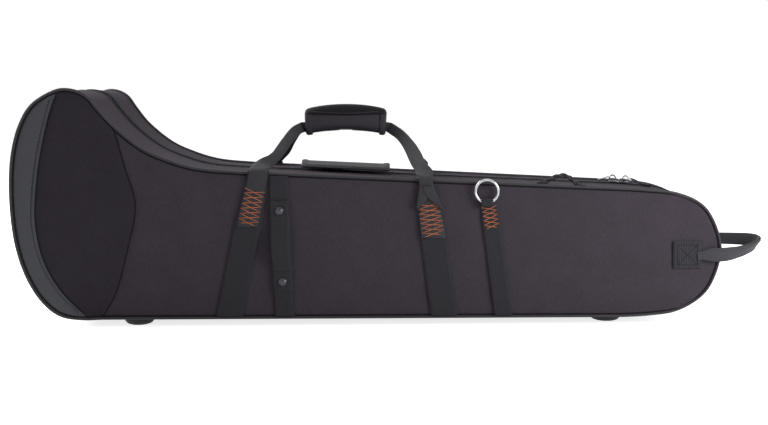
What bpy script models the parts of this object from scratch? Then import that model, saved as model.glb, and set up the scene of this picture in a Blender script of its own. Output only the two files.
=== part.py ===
"""Contoured soft trombone case, built piece by piece at its real size.

Metres, +Z up. The case stands on its long lower edge: +X runs from the bell
end to the narrow tail, the deep front shell faces -Y, and the shallower lid
shell is behind it at +Y. The origin is at the middle of the base.
"""

import math

import bmesh
import bpy
from mathutils import Matrix, Vector

# Overall size of the padded shells, piping left out
CASE_LENGTH = 0.8763
BELL_HEIGHT = 0.2831
FOOT_HEIGHT = 0.012
GAP = 0.0003
OVERRUN = 0.002
SMOOTH_ANGLE = math.radians(35)

# Depth of each shell from the zip line, at the bell, the body seam and the tail
FRONT_BELL_DEPTH = 0.135
FRONT_SEAM_DEPTH = 0.112
FRONT_TAIL_DEPTH = 0.092
LID_BELL_DEPTH = 0.122
LID_SEAM_DEPTH = 0.084
LID_TAIL_DEPTH = 0.046
FLARE_RUN = 0.150
FACE_CROWN = 0.003
CROWN_FADE = 0.080

# Wall build-up, from the outside in
COVER_THICKNESS = 0.0012
BOARD_THICKNESS = 0.006
FRAME_THICKNESS = 0.006
PIPING_RADIUS = 0.0022
PIPING_OUTSET = 0.0006
PIPING_SETBACK = 0.0004
FACE_INSET = 0.0021
BOARD_INSET = 0.0018
BOARD_PLAY = 0.0018
GUSSET_SETBACK = 0.0030
TAPE_WIDTH = 0.013
COIL_WIDTH = 0.0024
COIL_RISE = 0.0013
TAPE_INSET = 0.0002

# Straps and handle
WEBBING_WIDTH = 0.038
WEBBING_THICKNESS = 0.002
STRAP_STANDOFF = 0.0005
FOOT_WEBBING = 0.026
FOLDED_WIDTH = 0.018
FOLDED_THICKNESS = 0.005
BAND_EDGE = 0.004
BAND_TAPER = 0.040
LEG_RUNOUT = 0.004
GRIP_LENGTH = 0.110
GRIP_HALF_DEPTH = 0.013
GRIP_HALF_HEIGHT = 0.017
GRIP_RISE = 0.0735
GRIP_ARCH = 0.0055
GRIP_SETBACK = 0.006
OVAL_ANGLE = math.radians(78)
STRAP_PLAY = 0.0005
SLOT_DROP = 0.0055

# Ring, snap strap and tail loop
NARROW_WEBBING = 0.025
RING_RADIUS = 0.0145
RING_WIRE = 0.002
KEEPER_WIDTH = 0.010
KEEPER_PLAY = 0.0012
KEEPER_WALL = 0.0016
RING_STRAP_NECK = 0.018
SNAP_CAP_RADIUS = 0.0052
SNAP_CAP_HEIGHT = 0.003
SNAP_TAB = 0.012
SNAP_BULGE = 0.009
TAIL_LOOP_REACH = 0.070
TAIL_PATCH_SIZE = 0.034
TAIL_LOOP_WIDTH = 0.017
TAIL_LOOP_THICKNESS = 0.0045

# Feet and small trim
FOOT_RADIUS = 0.020
LID_FOOT_RADIUS = 0.015
FOOT_TAPER = 0.003
FOOT_MARGIN = 0.006
HOLDER_LENGTH = 0.110
HOLDER_THICKNESS = 0.003
HOLDER_RISE = 0.008
HOLDER_REACH = 0.028
HOLDER_SEAT = 0.036
PULL_LOOP_SPAN = 0.046
PULL_LOOP_RISE = 0.013
PULL_LOOP_CORD = 0.0026
PULL_LOOP_SETBACK = 0.010

# Zip sliders
SLIDER_LENGTH = 0.012
SLIDER_WIDTH = 0.009
SLIDER_HEIGHT = 0.0055
SLIDER_BEVEL = 0.001
FIN_HEIGHT = 0.0034
FIN_WIDTH = 0.0026
FIN_LENGTH = 0.0085
SLIDER_SPACING = 0.0150
PULL_AXIS_RISE = 0.0017
PULL_LENGTH = 0.018
PULL_WIDTH = 0.0075
PULL_THICKNESS = 0.0014
PULL_FORK = 0.010
PULL_DROP_ANGLE = math.radians(17)
TOGGLE_RADIUS = 0.0021
TOGGLE_LENGTH = 0.045
TOGGLE_ANGLE = math.radians(-68)
TOGGLE_DROP = 0.0052

# Inside fittings
CRADLE_LENGTH = 0.040
CRADLE_SETBACK = 0.020
THROAT_RADIUS = 0.042
THROAT_HEIGHT = 0.112
TAIL_CRADLE_LENGTH = 0.026
TAIL_CRADLE_MARGIN = 0.018
TAIL_SLOT_WIDTH = 0.030
TAIL_SLOT_DEPTH = 0.035
BOX_LENGTH = 0.190
BOX_HEIGHT = 0.055
BOX_WALL = 0.003
BOX_SETBACK = 0.012
BOX_LID_THICKNESS = 0.003
PEG_BLOCK_LENGTH = 0.064
PEG_BLOCK_HEIGHT = 0.050
PEG_BLOCK_SETBACK = 0.030
PEG_BORE_RADIUS = 0.0135
PEG_BORE_DEPTH = 0.040
BED_LENGTH = 0.030
BED_HEIGHT = 0.082
BED_THICKNESS = 0.025
SLIDE_GROOVE_RADIUS = 0.008
SLIDE_SPACING = 0.050
SLIDE_STRAP_WIDTH = 0.024

# Derived places
PIPE_PROUD = PIPING_OUTSET + PIPING_RADIUS
LEFT_X = (CASE_LENGTH + TAIL_LOOP_REACH + PIPE_PROUD) / -2 + PIPE_PROUD
RIGHT_X = LEFT_X + CASE_LENGTH
ZIP_Y = (FRONT_BELL_DEPTH - LID_BELL_DEPTH) / 2
WALL_INSET = COVER_THICKNESS + TAPE_INSET + GAP
INNER_INSET = WALL_INSET + FRAME_THICKNESS
BOARD_BACK = COVER_THICKNESS + GAP + BOARD_THICKNESS
KEEPER_RADIUS = RING_WIRE + KEEPER_PLAY + KEEPER_WALL
STRAP_OFF_SPLIT = STRAP_PLAY + FOLDED_THICKNESS / 2

# Outline of the padded shell, clockwise from the foot of the bell guard, as
# shares of the case's length and of the bell's height above the base
LEFT_SHARES = [
    (0.1001, 0.000), (0.0665, 0.018), (0.0461, 0.067), (0.0245, 0.170), (0.0079, 0.319),
    (0.0000, 0.523), (0.0023, 0.721), (0.0132, 0.853), (0.0296, 0.937), (0.0613, 0.996),
]
BELL_TOP_SHARES = [(0.0740, 1.000), (0.0885, 0.990), (0.1014, 0.966), (0.1131, 0.920)]
BODY_TOP_SHARES = [
    (0.1360, 0.838), (0.1760, 0.739), (0.2137, 0.687), (0.2514, 0.654), (0.3010, 0.639),
    (0.3980, 0.625), (0.6270, 0.593), (0.8145, 0.567), (0.8877, 0.556),
]
TAIL_SHARES = [
    (0.9363, 0.539), (0.9699, 0.495), (0.9868, 0.434), (1.0000, 0.297), (0.9868, 0.146),
    (0.9700, 0.081),
]
BODY_BASE_SHARES = [
    (0.9362, 0.024), (0.9010, 0.007), (0.8600, 0.000), (0.7400, 0.000), (0.1754, 0.000),
]
BELL_BASE_SHARES = [(0.1183, 0.000)]

# Seams across the face, from the base up, as shares of the same two sizes
GUARD_SEAM_SHARES = [
    (0.1001, 0.000), (0.0637, 0.136), (0.0427, 0.266), (0.0329, 0.418), (0.0329, 0.527),
    (0.0385, 0.700), (0.0496, 0.874), (0.0613, 0.996),
]
BODY_SEAM_SHARES = [
    (0.1183, 0.000), (0.1376, 0.107), (0.1566, 0.322), (0.1655, 0.452), (0.1655, 0.519),
    (0.1502, 0.675), (0.1360, 0.838),
]

# Straps on the faces, as shares of the case's length at the top and at the base
LEFT_BAND_SHARES = (0.3377, 0.2950)
RIGHT_BAND_SHARES = (0.5790, 0.6042)
RING_STRAP_SHARES = (0.6650, 0.6800)
SNAP_STRAP_SHARES = (0.3685, 0.3745)

# Each handle leg from its foot to the grip, as shares of the way along, in and up
LEFT_LEG_SHARES = [(0.35, 0.28, 0.15), (0.57, 0.62, 0.55), (0.81, 0.87, 0.88)]
RIGHT_LEG_SHARES = [(0.17, 0.23, 0.15), (0.36, 0.53, 0.44), (0.65, 0.84, 0.78)]
GRIP_SHARE = 0.4597
GRIP_SWELL_SHARES = [1.05, 0.97, 1.0, 1.0, 1.0, 0.97, 1.05]
OVAL_POWER_SHARE = 0.75

# The tail loop's path, as shares of its reach beyond the tail, of the front
# shell's tail depth in from the face, and of the patch's size above its middle
TAIL_LOOP_SHARES = [
    (-0.070, 0.00, 0.00), (0.090, 0.00, 0.02), (0.320, 0.07, 0.14), (0.620, 0.16, 0.31),
    (0.840, 0.31, 0.40), (0.889, 0.44, 0.44), (0.770, 0.56, 0.43), (0.450, 0.64, 0.39),
    (0.180, 0.67, 0.37),
]
TAIL_LOOP_TILT_SHARES = [0.0, 0.0, 0.15, 0.45, 0.6, 0.6, 0.55, 0.5, 0.5]

# Places of the other pieces, as shares of the case's length, height or depth
RING_HEIGHT_SHARE = 0.555
SNAP_HEIGHT_SHARES = (0.154, 0.466)
FRONT_FOOT_SHARES = [(0.165, 0.76), (0.837, 0.62)]
LID_FOOT_SHARES = [(0.165, 0.72), (0.837, 0.68)]
HOLDER_SHARE = 0.4620
PULL_LOOP_SHARE = 0.7710
SLIDER_SHARE = 0.8770
TAIL_PATCH_SHARES = (0.9560, 0.270)
CRADLE_SHARE = 0.2415
TAIL_CRADLE_SHARE = 0.8980
BOX_SHARE = 0.4560
PEG_BLOCK_SHARE = 0.6430
BED_SHARES = [0.2895, 0.7800]

# Sampling of the outline and the straps
SIDE_STEPS = 14
BODY_STEPS = 14
BELL_STEPS = 4
GUARD_STEPS = 2
DENSE_STEPS = 12
TURN_WEIGHT_SHARE = 0.11
TAPE_END_SHARE = 0.14
BAND_STEPS = 12
BEND_STEPS = 3
LEG_STEPS = 3
GRIP_STEPS = 6
OVAL_STEPS = 9
FOOT_SIDES = 20
ROUND_SIDES = 14

PIECES = "trombone_case"
CUTTERS = "cutters"

X_AXIS = Vector((1, 0, 0))
Y_AXIS = Vector((0, 1, 0))
Z_AXIS = Vector((0, 0, 1))


# Scene, materials and general shape makers

def clear_scene():
    """Remove every object, then make the collections for pieces and cutters."""
    for item in list(bpy.data.objects):
        bpy.data.objects.remove(item, do_unlink=True)
    for name in (PIECES, CUTTERS):
        collection = bpy.data.collections.new(name)
        bpy.context.scene.collection.children.link(collection)


def make_finish(name, colour, roughness, metallic=0.0):
    """A plain Principled material for one finish."""
    made = bpy.data.materials.new(name)
    made.use_nodes = True
    shader = made.node_tree.nodes["Principled BSDF"]
    shader.inputs["Base Color"].default_value = (*colour, 1.0)
    shader.inputs["Roughness"].default_value = roughness
    shader.inputs["Metallic"].default_value = metallic
    return made


def make_finishes():
    """Every finish on the case, by name, with colours read from the object."""
    return {
        "shell_fabric": make_finish("shell_fabric", (0.045, 0.038, 0.046), 0.85),
        "bell_fabric": make_finish("bell_fabric", (0.030, 0.027, 0.031), 0.85),
        "guard_fabric": make_finish("guard_fabric", (0.058, 0.058, 0.065), 0.60),
        "piping": make_finish("piping", (0.035, 0.035, 0.040), 0.50),
        "webbing": make_finish("webbing", (0.034, 0.033, 0.038), 0.75),
        "zip_tape": make_finish("zip_tape", (0.020, 0.020, 0.023), 0.80),
        "grip_leather": make_finish("grip_leather", (0.028, 0.026, 0.031), 0.55),
        "holder_vinyl": make_finish("holder_vinyl", (0.060, 0.060, 0.066), 0.30),
        "metal": make_finish("metal", (0.75, 0.75, 0.76), 0.20, 1.0),
        "slider_metal": make_finish("slider_metal", (0.10, 0.10, 0.11), 0.35, 1.0),
        "foot_rubber": make_finish("foot_rubber", (0.025, 0.025, 0.028), 0.60),
        "frame_wood": make_finish("frame_wood", (0.42, 0.30, 0.18), 0.70),
        "plush": make_finish("plush", (0.040, 0.040, 0.048), 0.95),
        "box_board": make_finish("box_board", (0.050, 0.050, 0.058), 0.90),
    }


def place(item, finish, collection=PIECES):
    """Link an object and give it its finish."""
    bpy.data.collections[collection].objects.link(item)
    item.data.materials.append(finish)
    if item.type == "MESH":
        item.data.shade_smooth()
        item.data.set_sharp_from_angle(angle=SMOOTH_ANGLE)
    return item


def from_bmesh(name, work, finish, collection=PIECES):
    """Turn a finished bmesh into a named object with outward faces."""
    bmesh.ops.remove_doubles(work, verts=work.verts, dist=GAP / 30)
    bmesh.ops.dissolve_degenerate(work, edges=work.edges, dist=GAP / 30)
    bmesh.ops.recalc_face_normals(work, faces=work.faces)
    mesh = bpy.data.meshes.new(name)
    work.to_mesh(mesh)
    work.free()
    return place(bpy.data.objects.new(name, mesh), finish, collection)


def loft(name, rings, finish, closed=False):
    """Skin a row of like rings, capped at both ends unless the row is closed."""
    work = bmesh.new()
    rows = [[work.verts.new(point) for point in ring] for ring in rings]
    pairs = list(zip(rows, rows[1:]))
    if closed:
        pairs.append((rows[-1], rows[0]))
    for low, high in pairs:
        for index in range(len(low)):
            after = (index + 1) % len(low)
            work.faces.new((low[index], low[after], high[after], high[index]))
    if not closed:
        work.faces.new(rows[0])
        work.faces.new(list(reversed(rows[-1])))
    return from_bmesh(name, work, finish)


def slab(name, grids, finish, near, far):
    """A closed slab over grids of (x, z) points, between two depth functions."""
    work = bmesh.new()
    for surface in (near, far):
        for grid in grids:
            rows = [[work.verts.new((p.x, surface(p), p.y)) for p in row] for row in grid]
            for low, high in zip(rows, rows[1:]):
                for index in range(len(low) - 1):
                    work.faces.new((low[index], low[index + 1], high[index + 1], high[index]))
    bmesh.ops.remove_doubles(work, verts=work.verts, dist=GAP / 30)
    bmesh.ops.dissolve_degenerate(work, edges=work.edges, dist=GAP / 30)
    rims = [edge for edge in work.edges if edge.is_boundary]
    bmesh.ops.bridge_loops(work, edges=rims)
    return from_bmesh(name, work, finish)


def block(name, size, centre, finish, bevel=0.0, collection=PIECES):
    """A box of the given size about its object's own origin."""
    work = bmesh.new()
    bmesh.ops.create_cube(work, size=1.0)
    bmesh.ops.scale(work, vec=size, verts=work.verts)
    if bevel:
        bmesh.ops.bevel(work, geom=work.edges[:], offset=bevel, segments=1, profile=0.5,
                        affect="EDGES", material=-1)
    made = from_bmesh(name, work, finish, collection)
    made.location = centre
    return made


def drum(name, low_radius, high_radius, height, sides, finish, collection=PIECES):
    """A round or tapered post about its object's own origin, along local Z."""
    work = bmesh.new()
    bmesh.ops.create_cone(work, cap_ends=True, segments=sides, radius1=low_radius,
                          radius2=high_radius, depth=height)
    return from_bmesh(name, work, finish, collection)


def cut(target, cutter, operation="DIFFERENCE"):
    """Cut or join one shape with another, which is then kept out of the build."""
    cutter.hide_render = True
    cutter.display_type = "WIRE"
    change = target.modifiers.new(cutter.name, "BOOLEAN")
    change.operation = operation
    change.object = cutter
    change.solver = "EXACT"


def tube(name, points, radius, finish, closed=False, resolution=1):
    """A round cord or wire along a row of points."""
    curve = bpy.data.curves.new(name, "CURVE")
    curve.dimensions = "3D"
    spline = curve.splines.new("POLY")
    spline.points.add(len(points) - 1)
    for node, point in zip(spline.points, points):
        node.co = (*point, 1.0)
    spline.use_cyclic_u = closed
    curve.bevel_depth = radius
    curve.bevel_resolution = resolution
    curve.use_fill_caps = not closed
    return place(bpy.data.objects.new(name, curve), finish)


def between(low, high, low_knot, high_knot, at):
    """The point a knot value marks on the line through two known points."""
    return low.lerp(high, (at - low_knot) / (high_knot - low_knot))


def catmull(before, start, end, after, steps):
    """Centripetal Catmull-Rom points from start up to, but without, end."""
    knots = [0.0]
    for first, second in ((before, start), (start, end), (end, after)):
        knots.append(knots[-1] + math.sqrt((second - first).length))
    k0, k1, k2, k3 = knots
    points = []
    for step in range(steps):
        at = k1 + (k2 - k1) * step / steps
        first = between(before, start, k0, k1, at)
        middle = between(start, end, k1, k2, at)
        last = between(end, after, k2, k3, at)
        low = between(first, middle, k0, k2, at)
        high = between(middle, last, k1, k3, at)
        points.append(between(low, high, k1, k2, at))
    return points


def smooth_open(points, steps):
    """A smooth run through every point, with the ends carried straight on."""
    padded = [points[0] * 2 - points[1], *points, points[-1] * 2 - points[-2]]
    run = []
    for index in range(1, len(points)):
        run += catmull(*padded[index - 1:index + 3], steps)
    return run + [points[-1]]


def spread(points, steps, start=0.0, end=1.0):
    """Points spaced evenly by length along a run, from one share to another."""
    marks = [0.0]
    for first, second in zip(points, points[1:]):
        marks.append(marks[-1] + (second - first).length)
    picked = []
    for step in range(steps + 1):
        aim = marks[-1] * (start + (end - start) * step / steps)
        index = max(i for i in range(len(points) - 1) if marks[i] <= aim + GAP * GAP)
        picked.append(between(points[index], points[index + 1], marks[index], marks[index + 1], aim))
    return picked


# Outline and faces

def at_shares(pair):
    """The (x, z) point at shares of the case's length and the bell's height."""
    return Vector((LEFT_X + pair[0] * CASE_LENGTH, FOOT_HEIGHT + pair[1] * BELL_HEIGHT))


class Outline:
    """The side view of the case: one closed smooth curve with named stretches."""

    NAMES = ("left", "bell_top", "body_top", "tail", "body_base", "bell_base")

    def __init__(self):
        stretches = (LEFT_SHARES, BELL_TOP_SHARES, BODY_TOP_SHARES, TAIL_SHARES,
                     BODY_BASE_SHARES, BELL_BASE_SHARES)
        points = [at_shares(pair) for stretch in stretches for pair in stretch]
        starts = [0]
        for stretch in stretches:
            starts.append(starts[-1] + len(stretch))
        starts = [starts[0], starts[1] - 1, *starts[2:]]
        self.starts = {name: start * DENSE_STEPS for name, start in zip(self.NAMES, starts)}
        count = len(points)
        self.dense = []
        for index in range(count):
            around = [points[(index + shift) % count] for shift in (-1, 0, 1, 2)]
            self.dense += catmull(*around, DENSE_STEPS)
        for point in self.dense:
            point.y = max(point.y, FOOT_HEIGHT)
        self.body_seam = smooth_open([at_shares(pair) for pair in BODY_SEAM_SHARES], DENSE_STEPS)
        self.guard_seam = smooth_open([at_shares(pair) for pair in GUARD_SEAM_SHARES], DENSE_STEPS)

    def moved(self, inset):
        """The dense outline moved inwards, or outwards where inset is negative."""
        count = len(self.dense)
        result = []
        for index, point in enumerate(self.dense):
            along = (self.dense[(index + 1) % count] - self.dense[index - 1]).normalized()
            result.append(point + Vector((along.y, -along.x)) * inset)
        return result

    def stations(self, name, steps):
        """Dense indices along one stretch, closer together where it turns."""
        names = list(self.NAMES)
        start = self.starts[name]
        following = names.index(name) + 1
        end = self.starts[names[following]] if following < len(names) else len(self.dense)
        count = len(self.dense)
        marks = [0.0]
        for index in range(start, end):
            here = self.dense[(index + 1) % count] - self.dense[index]
            last = self.dense[index] - self.dense[index - 1]
            turn = abs(here.angle(last)) if here.length and last.length else 0.0
            marks.append(marks[-1] + here.length + TURN_WEIGHT_SHARE * CASE_LENGTH * turn)
        picked = []
        for step in range(steps + 1):
            aim = marks[-1] * step / steps
            nearest = min(range(len(marks)), key=lambda i: abs(marks[i] - aim))
            picked.append((start + nearest) % count)
        return picked

    def ring(self):
        """Dense indices once around the whole outline."""
        steps = dict(left=SIDE_STEPS, bell_top=BELL_STEPS, body_top=BODY_STEPS,
                     tail=SIDE_STEPS, body_base=BODY_STEPS, bell_base=BELL_STEPS)
        picked = []
        for name in self.NAMES:
            picked += self.stations(name, steps[name])[:-1]
        return picked

    def span(self, x, run=None):
        """The lowest and highest z at one x of the outline or another closed run."""
        crossings = []
        dense = run or self.dense
        for low, high in zip(dense, dense[1:] + dense[:1]):
            if (low.x - x) * (high.x - x) <= 0 and low.x != high.x:
                crossings.append(between(low, high, low.x, high.x, x).y)
        return (min(crossings), max(crossings)) if crossings else (FOOT_HEIGHT, FOOT_HEIGHT)

    def top(self, x):
        """The height of the outline's upper edge at one x."""
        return self.span(x)[1]

    def seam_x(self, z):
        """Where the body seam lies at one height."""
        run = self.body_seam
        if z <= run[0].y:
            return run[0].x
        for low, high in zip(run, run[1:]):
            if low.y <= z <= high.y:
                return between(low, high, low.y, high.y, z).x
        return run[-1].x


OUTLINE = Outline()


class Shell:
    """One half of the case: which way it faces and how deep it is."""

    def __init__(self, prefix, sign, bell_depth, seam_depth, tail_depth):
        self.prefix = prefix
        self.sign = sign
        self.bell_depth = bell_depth
        self.seam_depth = seam_depth
        self.tail_depth = tail_depth

    def depth(self, point, crowned=True):
        """How far the face's skin is from the zip line at an (x, z) point."""
        seam_x = OUTLINE.seam_x(point.y)
        if point.x < seam_x:
            share = min((seam_x - point.x) / FLARE_RUN, 1.0)
            return self.seam_depth + (self.bell_depth - self.seam_depth) * math.sin(share * math.pi / 2)
        share = min((point.x - seam_x) / (RIGHT_X - seam_x), 1.0)
        depth = self.seam_depth + (self.tail_depth - self.seam_depth) * share
        if not crowned:
            return depth
        low, high = OUTLINE.span(point.x)
        half = max((high - low) / 2, GAP)
        across = min(abs(point.y - (low + high) / 2) / half, 1.0)
        fade = min((point.x - seam_x) / CROWN_FADE, max(RIGHT_X - point.x, 0) / CROWN_FADE, 1.0)
        return depth + FACE_CROWN * (1 - across ** 4) * fade

    def y(self, distance):
        """The y of a distance behind or before the zip line on this side."""
        return ZIP_Y + self.sign * distance

    def face(self, buried):
        """A depth function for slab: the y of a sheet that far under the skin."""
        return lambda point: self.y(self.depth(point) - buried)

    def on_face(self, x, z, stand=0.0):
        """A point on the face's skin, or standing off it."""
        return Vector((x, self.y(self.depth(Vector((x, z))) + stand), z))

    def edge_depth(self, x):
        """The skin's depth at the upper edge of the face."""
        return self.depth(Vector((x, OUTLINE.top(x))), crowned=False)


FRONT = Shell("front", -1, FRONT_BELL_DEPTH, FRONT_SEAM_DEPTH, FRONT_TAIL_DEPTH)
LID = Shell("lid", 1, LID_BELL_DEPTH, LID_SEAM_DEPTH, LID_TAIL_DEPTH)


def coons(left, right, base, top):
    """A grid of points filling four runs, each read from base or left onwards."""
    grid = []
    across, up = len(base) - 1, len(left) - 1
    for column in range(across + 1):
        u = column / across
        row = []
        for level in range(up + 1):
            v = level / up
            sides = left[level] * (1 - u) + right[level] * u
            ends = base[column] * (1 - v) + top[column] * v
            corners = (base[0] * (1 - u) + base[-1] * u) * (1 - v) + (top[0] * (1 - u) + top[-1] * u) * v
            row.append(sides + ends - corners)
        grid.append(row)
    return grid


def stretch(dense, name, steps, backwards=False):
    """The points of one outline stretch on a moved copy of the outline."""
    picked = [dense[index] for index in OUTLINE.stations(name, steps)]
    return picked[::-1] if backwards else picked


def seam(run, low, high, shift):
    """A seam's points between two corners, moved sideways by half a gap."""
    middle = spread(run, SIDE_STEPS)[1:-1]
    nudge = Vector((shift, 0))
    return [low + nudge, *[point + nudge for point in middle], high + nudge]


def face_grids(inset, gap):
    """The body, bell and guard grids of a face whose rim is inset."""
    dense = OUTLINE.moved(inset)
    left = stretch(dense, "left", SIDE_STEPS)
    bell_top = stretch(dense, "bell_top", BELL_STEPS)
    body_top = stretch(dense, "body_top", BODY_STEPS)
    tail = stretch(dense, "tail", SIDE_STEPS, backwards=True)
    body_base = stretch(dense, "body_base", BODY_STEPS, backwards=True)
    bell_base = stretch(dense, "bell_base", BELL_STEPS, backwards=True)
    body_low, body_high = body_base[0], body_top[0]
    bell_low, bell_high = bell_base[0], bell_top[0]
    body_left = seam(OUTLINE.body_seam, body_low, body_high, gap / 2)
    bell_right = seam(OUTLINE.body_seam, body_low, body_high, gap / -2)
    bell_left = seam(OUTLINE.guard_seam, bell_low, bell_high, gap / 2)
    body_base = [body_left[0], *body_base[1:]]
    body_top = [body_left[-1], *body_top[1:]]
    bell_base = [bell_left[0], *bell_base[1:-1], bell_right[0]]
    bell_top = [bell_left[-1], *bell_top[1:-1], bell_right[-1]]
    body = coons(body_left, tail, body_base, body_top)
    bell = coons(bell_left, bell_right, bell_base, bell_top)
    return body, bell, left, bell_left


def guard_grid(left, right, across):
    """The crescent between the outline and the guard seam."""
    return [
        [low.lerp(high, step / across) for low, high in zip(left, right)]
        for step in range(across + 1)
    ]


def make_board(shell, finish):
    """The stiff panel that closes one shell's face."""
    body, bell, left, bell_left = face_grids(BOARD_INSET, 0.0)
    guard = guard_grid(left, bell_left, GUARD_STEPS)
    front = COVER_THICKNESS + GAP
    slab(f"{shell.prefix}_board", [body, bell, guard], finish, shell.face(front), shell.face(BOARD_BACK))


def make_covers(shell, finishes):
    """The three sewn fabric panels on one shell's face."""
    body, bell, left, bell_left = face_grids(FACE_INSET, GAP)
    slab(f"{shell.prefix}_body_cover", [body], finishes["shell_fabric"], shell.face(0.0),
         shell.face(COVER_THICKNESS))
    slab(f"{shell.prefix}_bell_cover", [bell], finishes["bell_fabric"], shell.face(0.0),
         shell.face(COVER_THICKNESS))
    outer = left[1:-1]
    inner = [point - Vector((GAP, 0)) for point in bell_left[1:-1]]
    slab(f"{shell.prefix}_bell_guard", [guard_grid(outer, inner, GUARD_STEPS)],
         finishes["guard_fabric"], shell.face(0.0), shell.face(COVER_THICKNESS))


def wall_rings(shell, indices, sections):
    """Cross-sections of a wall: each entry is an inset and a distance function."""
    sheets = [(OUTLINE.moved(inset), distance) for inset, distance in sections]
    rings = []
    for index in indices:
        ring = []
        for dense, distance in sheets:
            point = dense[index]
            ring.append(Vector((point.x, shell.y(distance(point)), point.y)))
        rings.append(ring)
    return rings


def make_frame(shell, finish):
    """The rigid wall that runs round one shell behind its board."""
    def deep(point):
        return shell.depth(point, crowned=False) - BOARD_BACK - BOARD_PLAY

    def shallow(point):
        return GAP

    sections = [(WALL_INSET, deep), (WALL_INSET, shallow), (INNER_INSET, shallow), (INNER_INSET, deep)]
    loft(f"{shell.prefix}_frame", wall_rings(shell, OUTLINE.ring(), sections), finish, closed=True)


def make_gusset(shell, finish):
    """The fabric band round one shell, from its piping to the zip tape."""
    outer, inner = TAPE_INSET, TAPE_INSET + COVER_THICKNESS

    def deep(point):
        return shell.depth(point, crowned=False) - GUSSET_SETBACK

    def shallow(point):
        return TAPE_WIDTH + GAP

    sections = [(outer, deep), (outer, shallow), (inner, shallow), (inner, deep)]
    loft(f"{shell.prefix}_gusset_cover", wall_rings(shell, OUTLINE.ring(), sections), finish, closed=True)


def tape_indices():
    """Dense indices where the zip runs, and where the base hinge runs."""
    tail = OUTLINE.stations("tail", SIDE_STEPS)
    left = OUTLINE.stations("left", SIDE_STEPS)
    tail_end = round(SIDE_STEPS * (1 - TAPE_END_SHARE))
    left_start = round(SIDE_STEPS * TAPE_END_SHARE)
    zipped = left[left_start:-1] + OUTLINE.stations("bell_top", BELL_STEPS)[:-1]
    zipped += OUTLINE.stations("body_top", BODY_STEPS)[:-1] + tail[:tail_end + 1]
    base = tail[tail_end:-1] + OUTLINE.stations("body_base", BODY_STEPS)[:-1]
    base += OUTLINE.stations("bell_base", BELL_STEPS)[:-1] + left[:left_start + 1]
    return zipped, base


def make_tape(shell, finish):
    """One half of the zip: its tape, with the coil along the free edge."""
    inner = TAPE_INSET + COVER_THICKNESS
    sections = [
        (inner, lambda point: TAPE_WIDTH), (TAPE_INSET, lambda point: TAPE_WIDTH),
        (TAPE_INSET, lambda point: GAP + COIL_WIDTH + GAP), (-COIL_RISE, lambda point: GAP + COIL_WIDTH),
        (-COIL_RISE, lambda point: GAP), (inner, lambda point: GAP),
    ]
    zipped = tape_indices()[0]
    loft(f"{shell.prefix}_zip_tape", wall_rings(shell, zipped, sections), finish)


def make_spine(shell, finish):
    """One half of the webbing hinge along the base."""
    inner = TAPE_INSET + COVER_THICKNESS
    sections = [
        (inner, lambda point: TAPE_WIDTH), (TAPE_INSET, lambda point: TAPE_WIDTH),
        (TAPE_INSET, lambda point: GAP), (inner, lambda point: GAP),
    ]
    rings = wall_rings(shell, tape_indices()[1], sections)
    trim = Vector((GAP, 0, 0))
    rings[0] = [point - trim for point in rings[0]]
    rings[-1] = [point + trim for point in rings[-1]]
    loft(f"{shell.prefix}_spine_hinge", rings, finish)


def make_piping(shell, finish):
    """The round cord sewn into the edge of one face."""
    dense = OUTLINE.moved(-PIPING_OUTSET)
    points = []
    for index in OUTLINE.ring():
        depth = shell.depth(OUTLINE.dense[index], crowned=False) - PIPING_SETBACK
        points.append((dense[index].x, shell.y(depth), dense[index].y))
    tube(f"{shell.prefix}_piping", points, PIPING_RADIUS, finish, closed=True)


# Straps on the faces

def share_x(share):
    """The x at a share of the case's length."""
    return LEFT_X + share * CASE_LENGTH


def strap_ring(shell, x, z, width, stand, thickness):
    """A cross-section of a flat strap lying along the face at one height."""
    left, right = x - width / 2, x + width / 2
    return [
        shell.on_face(left, z, stand), shell.on_face(right, z, stand),
        shell.on_face(right, z, stand + thickness), shell.on_face(left, z, stand + thickness),
    ]


def slanted(shares, low, high, z):
    """The x of a slanted strap at one height, from its top and base shares."""
    return share_x(shares[1]) + (share_x(shares[0]) - share_x(shares[1])) * (z - low) / (high - low)


def strap_rings(shell, shares, low, high, start, end, width):
    """Cross-sections of a slanted face strap between two heights."""
    rings = []
    for step in range(BAND_STEPS + 1):
        z = start + (end - start) * step / BAND_STEPS
        rings.append(strap_ring(shell, slanted(shares, low, high, z), z, width, STRAP_STANDOFF,
                                WEBBING_THICKNESS))
    return rings


def band_ends(shares):
    """The lowest and highest z a face strap may reach inside the piping."""
    low = FOOT_HEIGHT + BAND_EDGE
    return low, OUTLINE.top(share_x(shares[0])) - BAND_EDGE


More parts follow.
